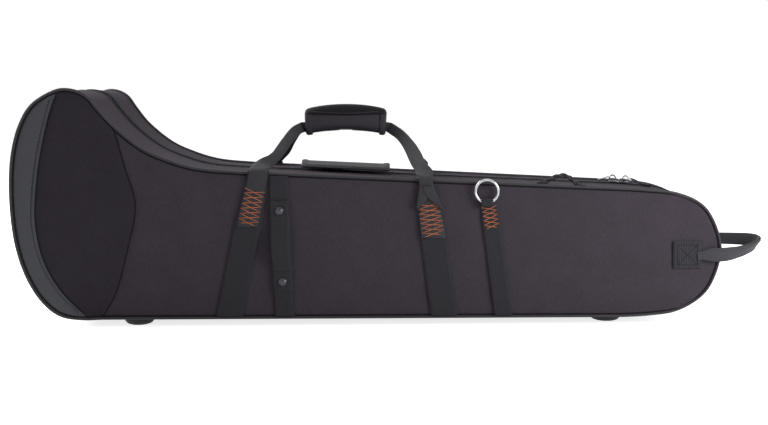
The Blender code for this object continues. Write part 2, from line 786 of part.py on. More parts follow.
def make_band(name, shell, shares, finish):
    """A wide webbing band up one face, over the piping to the handle's foot."""
    low, high = band_ends(shares)
    rings = strap_rings(shell, shares, low, high, low, high - BAND_TAPER, WEBBING_WIDTH)
    z = high - BAND_EDGE
    x = slanted(shares, low, high, z)
    rings.append(strap_ring(shell, x, z, FOOT_WEBBING, STRAP_STANDOFF, WEBBING_THICKNESS))
    x = share_x(shares[0])
    top = OUTLINE.top(x) + PIPING_OUTSET
    out = shell.edge_depth(x) - PIPING_SETBACK
    radius = (PIPING_RADIUS + STRAP_STANDOFF) / math.cos(math.pi / 4 / BEND_STEPS)
    half = FOOT_WEBBING / 2
    for step in range(BEND_STEPS + 1):
        angle = math.pi / 2 * step / BEND_STEPS
        ring = []
        for dx, reach in ((-half, radius), (half, radius), (half, radius + WEBBING_THICKNESS),
                          (-half, radius + WEBBING_THICKNESS)):
            lift = OUTLINE.top(x + dx) - OUTLINE.top(x)
            lean = shell.edge_depth(x + dx) - shell.edge_depth(x)
            ring.append(Vector((x + dx, shell.y(out + lean + reach * math.cos(angle)),
                                top + lift + reach * math.sin(angle))))
        rings.append(ring)
    loft(name, rings, finish)


def handle_foot(shell, shares):
    """The point the handle's leg bends about, just above the end of its band."""
    x = share_x(shares[0])
    rise = PIPING_OUTSET + PIPING_RADIUS + STRAP_STANDOFF + WEBBING_THICKNESS * 2 + GAP
    return Vector((x, shell.y(shell.edge_depth(x) - PIPING_SETBACK), OUTLINE.top(x) + rise))


# The carrying handle

def grip_frames():
    """Origins and up directions at even steps along the grip's arch."""
    centre_x = share_x(GRIP_SHARE)
    height = OUTLINE.top(centre_x) + GRIP_RISE
    frames = []
    for step in range(GRIP_STEPS + 1):
        share = 2 * step / GRIP_STEPS - 1
        origin = Vector((centre_x + share * GRIP_LENGTH / 2, ZIP_Y - GRIP_SETBACK,
                         height - GRIP_ARCH * share ** 2))
        slope = -4 * GRIP_ARCH * share / GRIP_LENGTH
        up = Vector((-slope, 0, 1)).normalized()
        frames.append((origin, up))
    return frames


def oval(angle, swell):
    """A point on the grip's rounded section, as its depth and height."""
    side, rise = math.cos(angle), math.sin(angle)
    return (
        abs(side) ** OVAL_POWER_SHARE * GRIP_HALF_DEPTH * swell,
        math.copysign(abs(rise) ** OVAL_POWER_SHARE, rise) * GRIP_HALF_HEIGHT * swell,
    )


def grip_section(sign, swell):
    """One half of the grip: its rounded back, then the slot open to the split."""
    edge = sign * GAP
    points = [(edge, GRIP_HALF_HEIGHT * swell)]
    for step in range(OVAL_STEPS + 1):
        side, rise = oval(OVAL_ANGLE * (1 - 2 * step / OVAL_STEPS), swell)
        points.append((sign * side, rise))
    points.append((edge, -GRIP_HALF_HEIGHT * swell))
    low = -SLOT_DROP - FOLDED_WIDTH / 2 - GAP
    high = -SLOT_DROP + FOLDED_WIDTH / 2 + GAP
    deep = sign * (STRAP_PLAY + FOLDED_THICKNESS + GAP)
    return points + [(edge, low), (deep, low), (deep, high), (edge, high)]


def make_grip(name, sign, finish):
    """One half of the padded grip, swept along the arch."""
    rings = []
    for (origin, up), swell in zip(grip_frames(), GRIP_SWELL_SHARES):
        rings.append([origin + Y_AXIS * side + up * rise for side, rise in grip_section(sign, swell)])
    loft(name, rings, finish)


def flat_ring(centre, along, wide, width, thickness):
    """A strap's rectangular cross-section, square to the way it runs."""
    wide = (wide - along * wide.dot(along)).normalized()
    thick = along.cross(wide).normalized()
    corners = ((-1, -1), (1, -1), (1, 1), (-1, 1))
    return [centre + wide * (w * width / 2) + thick * (t * thickness / 2) for w, t in corners]


def leg_path(foot, entry, shares):
    """A smooth run from a leg's foot to where it enters the grip."""
    way = entry - foot
    middle = [foot + Vector((way.x * a, way.y * b, way.z * c)) for a, b, c in shares]
    return smooth_open([foot, *middle, entry], LEG_STEPS)


def make_handle_strap(name, shell, finish):
    """One carrying strap: up from its foot, folded through the grip and down."""
    frames = grip_frames()
    side = Y_AXIS * (shell.sign * STRAP_OFF_SPLIT)
    inside = [(origin + side - up * SLOT_DROP, up) for origin, up in frames]
    first = inside[0][0] - X_AXIS * LEG_RUNOUT
    last = inside[-1][0] + X_AXIS * LEG_RUNOUT
    left = leg_path(handle_foot(shell, LEFT_BAND_SHARES), first, LEFT_LEG_SHARES)
    right = leg_path(handle_foot(shell, RIGHT_BAND_SHARES), last, RIGHT_LEG_SHARES)
    centres = left + [point for point, up in inside] + right[::-1]
    count = len(left)
    rings = []
    for index, centre in enumerate(centres):
        before = centres[max(index - 1, 0)]
        after = centres[min(index + 1, len(centres) - 1)]
        along = (after - before).normalized()
        if count <= index < count + len(inside):
            up = inside[index - count][1]
            along = Vector((up.z, 0, -up.x))
            rings.append(flat_ring(centre, along, up, FOLDED_WIDTH, FOLDED_THICKNESS))
            continue
        step = min(index, len(centres) - 1 - index) / (count - 1)
        fold = min(step * 2, 1.0)
        along.x *= fold
        along.normalize()
        wide = X_AXIS.lerp(Z_AXIS if index < count else -Z_AXIS, step)
        if index in (count - 1, count + len(inside)):
            wide = Z_AXIS
            along = X_AXIS
        if index >= count and wide.z < 0:
            wide = -wide
        width = FOOT_WEBBING + (FOLDED_WIDTH - FOOT_WEBBING) * fold
        thickness = WEBBING_THICKNESS + (FOLDED_THICKNESS - WEBBING_THICKNESS) * fold
        rings.append(flat_ring(centre, along, wide, width, thickness))
    loft(name, rings, finish)


# Ring, snap strap and tail loop

def ring_centre():
    """Centre of the metal ring, in front of the face by its keeper."""
    low, high = band_ends(RING_STRAP_SHARES)
    z = FOOT_HEIGHT + RING_HEIGHT_SHARE * BELL_HEIGHT
    x = slanted(RING_STRAP_SHARES, low, high, z)
    base = z - RING_RADIUS
    return Vector((x, FRONT.on_face(x, base, KEEPER_RADIUS + STRAP_STANDOFF).y, z))


def make_ring(finishes):
    """The ring, the webbing fold that keeps it and the strap below."""
    centre = ring_centre()
    steps = ROUND_SIDES * 2
    points = []
    for step in range(steps):
        angle = 2 * math.pi * step / steps
        points.append(centre + Vector((math.sin(angle), 0, math.cos(angle))) * RING_RADIUS)
    tube("ring", points, RING_WIRE, finishes["metal"], closed=True)

    axis = centre - Z_AXIS * RING_RADIUS
    inner, outer = KEEPER_RADIUS - KEEPER_WALL, KEEPER_RADIUS
    half = KEEPER_WIDTH / 2
    rings = []
    for step in range(ROUND_SIDES):
        angle = 2 * math.pi * step / ROUND_SIDES
        spoke = Vector((0, math.sin(angle), math.cos(angle)))
        rings.append([
            axis + spoke * inner - X_AXIS * half, axis + spoke * outer - X_AXIS * half,
            axis + spoke * outer + X_AXIS * half, axis + spoke * inner + X_AXIS * half,
        ])
    loft("ring_keeper", rings, finishes["webbing"], closed=True)

    low, high = band_ends(RING_STRAP_SHARES)
    end = axis.z - KEEPER_RADIUS - GAP
    rings = strap_rings(FRONT, RING_STRAP_SHARES, low, high, low, end, NARROW_WEBBING)
    x = slanted(RING_STRAP_SHARES, low, high, end)
    rings[-1] = strap_ring(FRONT, x, end, RING_STRAP_NECK, STRAP_STANDOFF, WEBBING_THICKNESS)
    loft("ring_strap", rings, finishes["webbing"])


def snap_points():
    """Heights of the two snaps on their strap."""
    return [FOOT_HEIGHT + share * BELL_HEIGHT for share in SNAP_HEIGHT_SHARES]


def make_snap_strap(finishes):
    """The strap up the face, the loop snapped over it and the two caps."""
    shares = SNAP_STRAP_SHARES
    low, high = band_ends(shares)
    loft("snap_strap", strap_rings(FRONT, shares, low, high, low, high, NARROW_WEBBING),
         finishes["webbing"])
    low_snap, high_snap = snap_points()
    stand = STRAP_STANDOFF + WEBBING_THICKNESS + GAP
    tab = []
    for z in (low_snap - SNAP_TAB, low_snap, low_snap + SNAP_TAB):
        tab.append(strap_ring(FRONT, slanted(shares, low, high, z), z, NARROW_WEBBING, stand,
                              WEBBING_THICKNESS))
    loft("snap_tab", tab, finishes["webbing"])
    start, end = low_snap + SNAP_TAB + STRAP_STANDOFF, high_snap + SNAP_TAB
    rings = []
    for step in range(BAND_STEPS + 1):
        share = step / BAND_STEPS
        z = start + (end - start) * share
        free = min(share * (end - start) / (end - start - SNAP_TAB * 2), 1.0)
        bulge = SNAP_BULGE * math.sin(math.pi * free) ** 2
        rings.append(strap_ring(FRONT, slanted(shares, low, high, z), z, NARROW_WEBBING,
                                stand + bulge, WEBBING_THICKNESS))
    loft("snap_loop", rings, finishes["webbing"])
    for name, z in (("snap_cap_low", low_snap), ("snap_cap_high", high_snap)):
        x = slanted(shares, low, high, z)
        base = stand + WEBBING_THICKNESS + STRAP_STANDOFF
        cap = drum(name, SNAP_CAP_RADIUS, SNAP_CAP_RADIUS * 2 / 3, SNAP_CAP_HEIGHT, ROUND_SIDES,
                   finishes["metal"])
        cap.rotation_euler = (math.pi / 2, 0, 0)
        cap.location = FRONT.on_face(x, z, base + SNAP_CAP_HEIGHT / 2)


def make_tail_loop(finishes):
    """The sewn patch on the tail and the webbing loop that leaves it."""
    centre = at_shares(TAIL_PATCH_SHARES)
    half = TAIL_PATCH_SIZE / 2
    rings = []
    for step in range(BAND_STEPS // 2 + 1):
        z = centre.y - half + TAIL_PATCH_SIZE * step * 2 / BAND_STEPS
        rings.append(strap_ring(FRONT, centre.x, z, TAIL_PATCH_SIZE, STRAP_STANDOFF, WEBBING_THICKNESS))
    loft("tail_patch", rings, finishes["webbing"])

    start_x = centre.x + half + STRAP_STANDOFF
    start = FRONT.on_face(start_x, centre.y, STRAP_STANDOFF + TAIL_LOOP_THICKNESS / 2)
    lead = Vector((start_x + TAIL_PATCH_SIZE / 4, start.y, centre.y))
    proud = PIPING_RADIUS + TAIL_LOOP_THICKNESS / 2 + STRAP_STANDOFF
    face_y = FRONT.y(FRONT_TAIL_DEPTH + proud)
    points = [start, lead]
    for along, inward, rise in TAIL_LOOP_SHARES:
        points.append(Vector((RIGHT_X + along * TAIL_LOOP_REACH, face_y + inward * FRONT_TAIL_DEPTH,
                              centre.y + rise * TAIL_PATCH_SIZE)))
    end = points[-1].copy()
    end.x = outline_right(end.z) + STRAP_STANDOFF
    points.append(end)
    tilts = [0.0, 0.0, *TAIL_LOOP_TILT_SHARES, TAIL_LOOP_TILT_SHARES[-1]]
    rings = []
    for index, centre in enumerate(points):
        before = points[max(index - 1, 0)]
        after = points[min(index + 1, len(points) - 1)]
        along = (after - before).normalized()
        if index == len(points) - 1:
            along = -X_AXIS
        sideways = along.cross(Z_AXIS).normalized()
        wide = Z_AXIS.lerp(sideways, tilts[index])
        rings.append(flat_ring(centre, along, wide, TAIL_LOOP_WIDTH, TAIL_LOOP_THICKNESS))
    loft("tail_loop", rings, finishes["webbing"])


def outline_right(z):
    """The x of the tail's surface at one height."""
    best = LEFT_X
    for low, high in zip(OUTLINE.dense, OUTLINE.dense[1:] + OUTLINE.dense[:1]):
        if (low.y - z) * (high.y - z) <= 0 and low.y != high.y:
            best = max(best, between(low, high, low.y, high.y, z).x)
    return best


# Feet, card holder and pull loop

def make_feet(finish):
    """Four tapered feet, two under each shell."""
    sets = ((FRONT, FRONT_FOOT_SHARES, FOOT_RADIUS), (LID, LID_FOOT_SHARES, LID_FOOT_RADIUS))
    for shell, shares, radius in sets:
        for side, (share, inward) in zip(("bell", "tail"), shares):
            x = share_x(share)
            depth = shell.depth(Vector((x, FOOT_HEIGHT)), crowned=False)
            distance = min(inward * depth, depth - radius - FOOT_MARGIN)
            foot = drum(f"{shell.prefix}_{side}_foot", radius - FOOT_TAPER, radius,
                        FOOT_HEIGHT - GAP, FOOT_SIDES, finish)
            foot.location = (x, shell.y(distance), (FOOT_HEIGHT - GAP) / 2)


def make_holder(finish):
    """The arched card holder sewn on the lid, its free edge over the zip."""
    x = share_x(HOLDER_SHARE)
    half = HOLDER_LENGTH / 2
    steps = BAND_STEPS // 2
    rings = []
    for step in range(steps + 1):
        share = step / steps
        distance = HOLDER_SEAT - (HOLDER_SEAT + HOLDER_REACH) * share
        arch = math.sin(math.pi * min(share * 1.3, 1.0) / 2)
        rise = STRAP_STANDOFF + HOLDER_RISE * arch - HOLDER_RISE / 2 * max(share * 2 - 1, 0) ** 2
        ring = []
        for dx, lift in ((-half, 0), (half, 0), (half, HOLDER_THICKNESS), (-half, HOLDER_THICKNESS)):
            ring.append(Vector((x + dx, ZIP_Y + distance, OUTLINE.top(x + dx) + rise + lift)))
        rings.append(ring)
    loft("card_holder", rings, finish)


def make_pull_loop(finish):
    """The small cord loop held while the zip is drawn."""
    x = share_x(PULL_LOOP_SHARE)
    y = FRONT.y(FRONT.edge_depth(x) - PULL_LOOP_SETBACK)
    half = PULL_LOOP_SPAN / 2
    steps = ROUND_SIDES - 2
    points = []
    for step in range(steps + 1):
        angle = math.pi * step / steps
        across = -math.cos(angle) * (half - PULL_LOOP_CORD)
        top = OUTLINE.top(x + across)
        rise = math.sin(angle) * (PULL_LOOP_RISE - PULL_LOOP_CORD)
        points.append(Vector((x + across, y, top + STRAP_STANDOFF + rise)))
    tube("pull_loop", points, PULL_LOOP_CORD, finish)


# Zip sliders

def top_slope():
    """The tilt of the straight upper edge, as an angle about +Y."""
    low, high = share_x(BED_SHARES[0]), share_x(BED_SHARES[1])
    return math.atan2(OUTLINE.top(low) - OUTLINE.top(high), high - low)


def slider_point(index):
    """Where a slider's underside sits on the coil."""
    x = share_x(SLIDER_SHARE) + (index * 2 - 1) * SLIDER_SPACING / 2
    return Vector((x, ZIP_Y, OUTLINE.top(x) + COIL_RISE + STRAP_STANDOFF))


def in_slope(origin, offset):
    """A point given along the slope, across it and square to it."""
    return origin + Matrix.Rotation(top_slope(), 3, "Y") @ Vector(offset)


def make_sliders(finishes):
    """Two sliders nose to nose, one with a metal tab and one with a toggle."""
    slope = top_slope()
    for index, (name, way) in enumerate((("slider_a", -1), ("slider_b", 1))):
        origin = slider_point(index)
        middle = in_slope(origin, (0, 0, SLIDER_HEIGHT / 2))
        body = block(name, (SLIDER_LENGTH, SLIDER_WIDTH, SLIDER_HEIGHT), middle,
                     finishes["slider_metal"], SLIDER_BEVEL)
        body.rotation_euler = (0, slope, 0)
        fin_x = way * (SLIDER_LENGTH - FIN_LENGTH) / 2
        fin_z = SLIDER_HEIGHT + FIN_HEIGHT / 2 - SLIDER_BEVEL
        fin = block(f"{name}_fin", (FIN_LENGTH, FIN_WIDTH, FIN_HEIGHT + SLIDER_BEVEL),
                    in_slope(origin, (fin_x, 0, fin_z)), finishes["slider_metal"], 0.0, CUTTERS)
        fin.rotation_euler = (0, slope, 0)
        cut(body, fin, "UNION")
    make_tab(finishes["metal"])
    make_toggle(finishes["zip_tape"])


def tab_axis():
    """The point the metal tab swings about, at the end of its slider's fin."""
    reach = SLIDER_LENGTH / 2 - PULL_THICKNESS / 2
    return in_slope(slider_point(0), (-reach, 0, SLIDER_HEIGHT + PULL_AXIS_RISE))


def make_tab(finish):
    """The metal tab, forked round the fin and leaning down along the zip."""
    axis = tab_axis()
    past = PULL_THICKNESS
    middle = Vector(((past - PULL_LENGTH) / 2, 0, 0))
    tab = block("slider_a_tab", (PULL_LENGTH + past, PULL_WIDTH, PULL_THICKNESS), (0, 0, 0), finish)
    tab.data.transform(Matrix.Translation(middle))
    tab.location = axis
    tab.rotation_euler = (0, top_slope() - PULL_DROP_ANGLE, 0)
    fork = block("tab_fork", (PULL_FORK, FIN_WIDTH + GAP * 2, PULL_THICKNESS * 3), (0, 0, 0), finish,
                 0.0, CUTTERS)
    fork.data.transform(Matrix.Translation(Vector((past + OVERRUN - PULL_FORK / 2, 0, 0))))
    fork.location = axis
    fork.rotation_euler = tab.rotation_euler
    cut(tab, fork)


def make_toggle(finish):
    """The soft toggle that lies from the second slider down onto the gusset."""
    start = in_slope(slider_point(1), (SLIDER_LENGTH / 2 + TOGGLE_RADIUS + GAP, 0, SLIDER_HEIGHT))
    way = Vector((math.cos(TOGGLE_ANGLE), math.sin(TOGGLE_ANGLE), 0))
    points = []
    for share, drop in ((0.0, 0.0), (0.2, 0.25), (0.5, 0.8), (0.75, 1.0), (1.0, 1.0)):
        points.append(start + way * (TOGGLE_LENGTH * share) - Z_AXIS * (TOGGLE_DROP * drop))
    tube("slider_b_toggle", points, TOGGLE_RADIUS, finish)


# Fittings inside the shells

def inside_floor():
    """The height just above the frame's inner base."""
    return FOOT_HEIGHT + INNER_INSET + GAP


def inside_span(x, length):
    """The clear height inside the frame over a length centred on x."""
    dense = OUTLINE.moved(INNER_INSET)
    wall = [dense[index] for index in OUTLINE.ring()]
    spans = [OUTLINE.span(x + side * length / 2, wall) for side in (-1, 0, 1)]
    return max(low for low, high in spans) + GAP, min(high for low, high in spans) - GAP


def inner_depth(shell, x, height):
    """The distance of a board's inner side from the zip line, less a gap."""
    depths = [shell.depth(Vector((at, height))) for at in x]
    return min(depths) - BOARD_BACK - GAP


def seat(shell, x, length, low, high):
    """The least distance of a board's inner side behind one block."""
    ends = (x - length / 2, x + length / 2)
    return min(inner_depth(shell, ends, low), inner_depth(shell, ends, high))


def fitting(name, shell, x, length, low, high, start, finish):
    """A block seated on a board and reaching out to a distance from the zip."""
    deep = seat(shell, x, length, low, high)
    centre = (x, shell.y((deep + start) / 2), (low + high) / 2)
    return block(name, (length, deep - start, high - low), centre, finish)


def make_front_fittings(finishes):
    """Bell cradle, tail cradle, accessory box and mouthpiece block."""
    plush = finishes["plush"]
    floor = inside_floor()
    x = share_x(CRADLE_SHARE)
    high = inside_span(x, CRADLE_LENGTH)[1]
    cradle = fitting("bell_cradle", FRONT, x, CRADLE_LENGTH, floor, high, CRADLE_SETBACK, plush)
    trough = drum("cradle_trough", THROAT_RADIUS, THROAT_RADIUS, CRADLE_LENGTH + OVERRUN * 2,
                  ROUND_SIDES * 2, plush, CUTTERS)
    trough.rotation_euler = (0, math.pi / 2, 0)
    trough.location = (x, FRONT.y(CRADLE_SETBACK), THROAT_HEIGHT)
    cut(cradle, trough)

    x = share_x(TAIL_CRADLE_SHARE)
    low, high = inside_span(x, TAIL_CRADLE_LENGTH)
    high -= TAIL_CRADLE_MARGIN
    cradle = fitting("tail_cradle", FRONT, x, TAIL_CRADLE_LENGTH, low, high, CRADLE_SETBACK, plush)
    slot = block("cradle_slot", (TAIL_CRADLE_LENGTH + OVERRUN * 2, TAIL_SLOT_DEPTH * 2, TAIL_SLOT_WIDTH),
                 (x, FRONT.y(CRADLE_SETBACK), (low + high) / 2), plush, 0.0, CUTTERS)
    cut(cradle, slot)

    x = share_x(PEG_BLOCK_SHARE)
    pegs = fitting("mouthpiece_block", FRONT, x, PEG_BLOCK_LENGTH, floor,
                   floor + PEG_BLOCK_HEIGHT, PEG_BLOCK_SETBACK, plush)
    for index in (0, 1):
        bore = drum(f"mouthpiece_bore_{index + 1}", PEG_BORE_RADIUS, PEG_BORE_RADIUS,
                    PEG_BORE_DEPTH * 2, ROUND_SIDES, plush, CUTTERS)
        bore.rotation_euler = (math.pi / 2, 0, 0)
        shift = (index * 2 - 1) * PEG_BLOCK_LENGTH / 4
        bore.location = (x + shift, FRONT.y(PEG_BLOCK_SETBACK), floor + PEG_BLOCK_HEIGHT / 2)
        cut(pegs, bore)


def make_accessory_box(finish):
    """The small parts box in the front shell and its lid."""
    floor = inside_floor()
    x = share_x(BOX_SHARE)
    box = fitting("accessory_box", FRONT, x, BOX_LENGTH, floor, floor + BOX_HEIGHT, BOX_SETBACK, finish)
    deep = seat(FRONT, x, BOX_LENGTH, floor, floor + BOX_HEIGHT)
    inside_depth = deep - BOX_SETBACK - BOX_WALL + OVERRUN
    hollow = block("box_hollow", (BOX_LENGTH - BOX_WALL * 2, inside_depth, BOX_HEIGHT - BOX_WALL * 2),
                   (x, FRONT.y(BOX_SETBACK - OVERRUN + inside_depth / 2), floor + BOX_HEIGHT / 2),
                   finish, 0.0, CUTTERS)
    cut(box, hollow)
    lid_top = floor + BOX_HEIGHT
    lid_y = FRONT.y(BOX_SETBACK - GAP - BOX_LID_THICKNESS / 2)
    lid = block("accessory_lid", (BOX_LENGTH, BOX_LID_THICKNESS, BOX_HEIGHT),
                (x, lid_y, floor + BOX_HEIGHT / 2), finish)
    lid.data.transform(Matrix.Translation(Vector((0, 0, -BOX_HEIGHT / 2))))
    lid.location.z = lid_top


def make_lid_fittings(finishes):
    """Two grooved slide beds in the lid, each with its strap."""
    middle = sum(inside_span(share_x(BED_SHARES[1]), BED_LENGTH)) / 2
    low, high = middle - BED_HEIGHT / 2, middle + BED_HEIGHT / 2
    for index, share in enumerate(BED_SHARES):
        x = share_x(share)
        number = index + 1
        start = seat(LID, x, BED_LENGTH, low, high) - BED_THICKNESS
        bed = fitting(f"slide_bed_{number}", LID, x, BED_LENGTH, low, high, start, finishes["plush"])
        for side in (-1, 1):
            groove = drum(f"slide_groove_{number}_{side + 1}", SLIDE_GROOVE_RADIUS, SLIDE_GROOVE_RADIUS,
                          BED_LENGTH + OVERRUN * 2, ROUND_SIDES, finishes["plush"], CUTTERS)
            groove.rotation_euler = (0, math.pi / 2, 0)
            groove.location = (x, LID.y(start), middle + side * SLIDE_SPACING / 2)
            cut(bed, groove)
        strap_y = LID.y(start - STRAP_STANDOFF - WEBBING_THICKNESS / 2)
        strap = block(f"slide_strap_{number}", (SLIDE_STRAP_WIDTH, WEBBING_THICKNESS, BED_HEIGHT),
                      (x, strap_y, low), finishes["webbing"])
        strap.data.transform(Matrix.Translation(Vector((0, 0, BED_HEIGHT / 2))))


def build():
    """Make every piece of the case."""
    clear_scene()
    finishes = make_finishes()
    for shell in (FRONT, LID):
        make_frame(shell, finishes["frame_wood"])
        make_board(shell, finishes["frame_wood"])
        make_covers(shell, finishes)
        make_gusset(shell, finishes["shell_fabric"])
        make_piping(shell, finishes["piping"])
        make_tape(shell, finishes["zip_tape"])
        make_spine(shell, finishes["zip_tape"])
        make_band(f"{shell.prefix}_band_left", shell, LEFT_BAND_SHARES, finishes["webbing"])
        make_band(f"{shell.prefix}_band_right", shell, RIGHT_BAND_SHARES, finishes["webbing"])
        make_handle_strap(f"{shell.prefix}_handle_strap", shell, finishes["webbing"])
    make_grip("grip_front", FRONT.sign, finishes["grip_leather"])
    make_grip("grip_rear", LID.sign, finishes["grip_leather"])
    make_ring(finishes)
    make_snap_strap(finishes)
    make_tail_loop(finishes)
    make_feet(finishes["foot_rubber"])
    make_holder(finishes["holder_vinyl"])
    make_pull_loop(finishes["webbing"])
    make_sliders(finishes)
    make_front_fittings(finishes)
    make_accessory_box(finishes["box_board"])
    make_lid_fittings(finishes)


build()
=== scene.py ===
"""Dressed scene of a soft contoured trombone case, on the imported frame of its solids.

Metres, +Z up. The case stands on its long edge: +X runs from the bell end to the
tail, the deep front shell faces -Y and the shallower lid shell is behind it.
"""

from __future__ import annotations

import logging
import math
from bisect import bisect_right
from dataclasses import dataclass, field
from enum import Enum
from typing import Callable, Sequence

import bmesh
import bpy
from mathutils import Matrix, Vector, noise


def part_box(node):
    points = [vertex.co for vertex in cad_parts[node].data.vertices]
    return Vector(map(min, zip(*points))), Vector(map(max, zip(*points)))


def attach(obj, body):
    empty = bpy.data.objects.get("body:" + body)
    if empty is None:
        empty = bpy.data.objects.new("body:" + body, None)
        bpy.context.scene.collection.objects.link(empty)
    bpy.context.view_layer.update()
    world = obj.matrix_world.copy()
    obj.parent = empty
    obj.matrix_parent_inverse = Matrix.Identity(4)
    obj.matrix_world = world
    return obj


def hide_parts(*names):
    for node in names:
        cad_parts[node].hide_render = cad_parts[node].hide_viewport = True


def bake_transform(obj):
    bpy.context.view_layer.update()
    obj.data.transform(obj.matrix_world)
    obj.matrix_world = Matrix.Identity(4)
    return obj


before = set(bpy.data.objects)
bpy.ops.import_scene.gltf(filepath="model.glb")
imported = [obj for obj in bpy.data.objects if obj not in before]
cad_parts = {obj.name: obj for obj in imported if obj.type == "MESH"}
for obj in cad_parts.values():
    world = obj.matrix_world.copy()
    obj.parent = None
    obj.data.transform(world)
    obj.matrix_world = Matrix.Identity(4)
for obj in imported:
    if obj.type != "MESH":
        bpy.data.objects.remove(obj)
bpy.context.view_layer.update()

log = logging.getLogger("trombone_case")

Spot = Callable[[float, float], Vector]
Lay = Callable[[float, float], tuple[float, float]]
Colour = tuple[float, float, float]
Share = tuple[float, float]
Points = Sequence[Vector]
Piece = bpy.types.Object
Socket = bpy.types.NodeSocket
Sheet = bmesh.types.BMesh

SIDES = (("left", -1), ("right", 1))

X_AXIS = Vector((1, 0, 0))
Y_AXIS = Vector((0, 1, 0))
Z_AXIS = Vector((0, 0, 1))

# Overall sizes, the same as those of the solids
CASE_LENGTH = 0.8763
BELL_HEIGHT = 0.2831
FOOT_HEIGHT = 0.012
GAP = 0.0003
LEFT_X = -0.47175
RIGHT_X = LEFT_X + CASE_LENGTH
ZIP_Y = 0.0065
FLARE_RUN = 0.150
FACE_CROWN = 0.003
CROWN_FADE = 0.080
TAPE_WIDTH = 0.013
TAPE_INSET = 0.0002
NECK_SHARE = 0.18
NECK_REACH = 0.075
BOARD_BACK = 0.0075
INNER_INSET = 0.0077
PIPING_RADIUS = 0.0022
PIPING_OUTSET = 0.0006
PIPING_SETBACK = 0.0004
WEBBING_THICKNESS = 0.002
THREAD_WIDTH = 0.0006
COIL_PITCH = 0.0026
STRAP_STANDOFF = 0.0005
STRAP_TOP = STRAP_STANDOFF + WEBBING_THICKNESS
BAND_EDGE = 0.0015
DENSE_STEPS = 12
TURN_WEIGHT = 0.11 * CASE_LENGTH

LEFT_SHARES: list[Share] = [
    (0.1001, 0.000), (0.0665, 0.018), (0.0461, 0.067), (0.0245, 0.170), (0.0079, 0.319),
    (0.0000, 0.523), (0.0023, 0.721), (0.0132, 0.853), (0.0296, 0.937), (0.0613, 0.996),
]
BELL_TOP_SHARES: list[Share] = [(0.0740, 1.000), (0.0885, 0.990), (0.1014, 0.966), (0.1131, 0.920)]
BODY_TOP_SHARES: list[Share] = [
    (0.1360, 0.838), (0.1760, 0.739), (0.2137, 0.687), (0.2514, 0.654), (0.3010, 0.639),
    (0.3980, 0.625), (0.6270, 0.593), (0.8145, 0.567), (0.8877, 0.556),
]
TAIL_SHARES: list[Share] = [
    (0.9363, 0.539), (0.9699, 0.495), (0.9868, 0.434), (1.0000, 0.297), (0.9868, 0.146),
    (0.9700, 0.081),
]
BODY_BASE_SHARES: list[Share] = [
    (0.9362, 0.024), (0.9010, 0.007), (0.8600, 0.000), (0.7400, 0.000), (0.1754, 0.000),
]
BELL_BASE_SHARES: list[Share] = [(0.1183, 0.000)]
GUARD_SEAM_SHARES: list[Share] = [
    (0.1001, 0.000), (0.0637, 0.136), (0.0427, 0.266), (0.0329, 0.418), (0.0329, 0.527),
    (0.0385, 0.700), (0.0496, 0.874), (0.0613, 0.996),
]
BODY_SEAM_SHARES: list[Share] = [
    (0.1183, 0.000), (0.1376, 0.107), (0.1566, 0.322), (0.1655, 0.452), (0.1655, 0.519),
    (0.1502, 0.675), (0.1360, 0.838),
]
LEFT_BAND_SHARES: Share = (0.3400, 0.2985)
RIGHT_BAND_SHARES: Share = (0.5772, 0.6035)
RING_STRAP_SHARES: Share = (0.6625, 0.6878)
SNAP_STRAP_SHARES: Share = (0.3680, 0.3768)


# Finishes

class Reading(Enum):
    """Which coordinates a finish lays its pattern on."""

    PIECE = "Object"
    SURFACE = "UV"


def given(target: bpy.types.bpy_struct, **settings: object) -> bpy.types.bpy_struct:
    """The same thing, its plain settings set."""
    for key, value in settings.items():
        setattr(target, key, value)
    return target


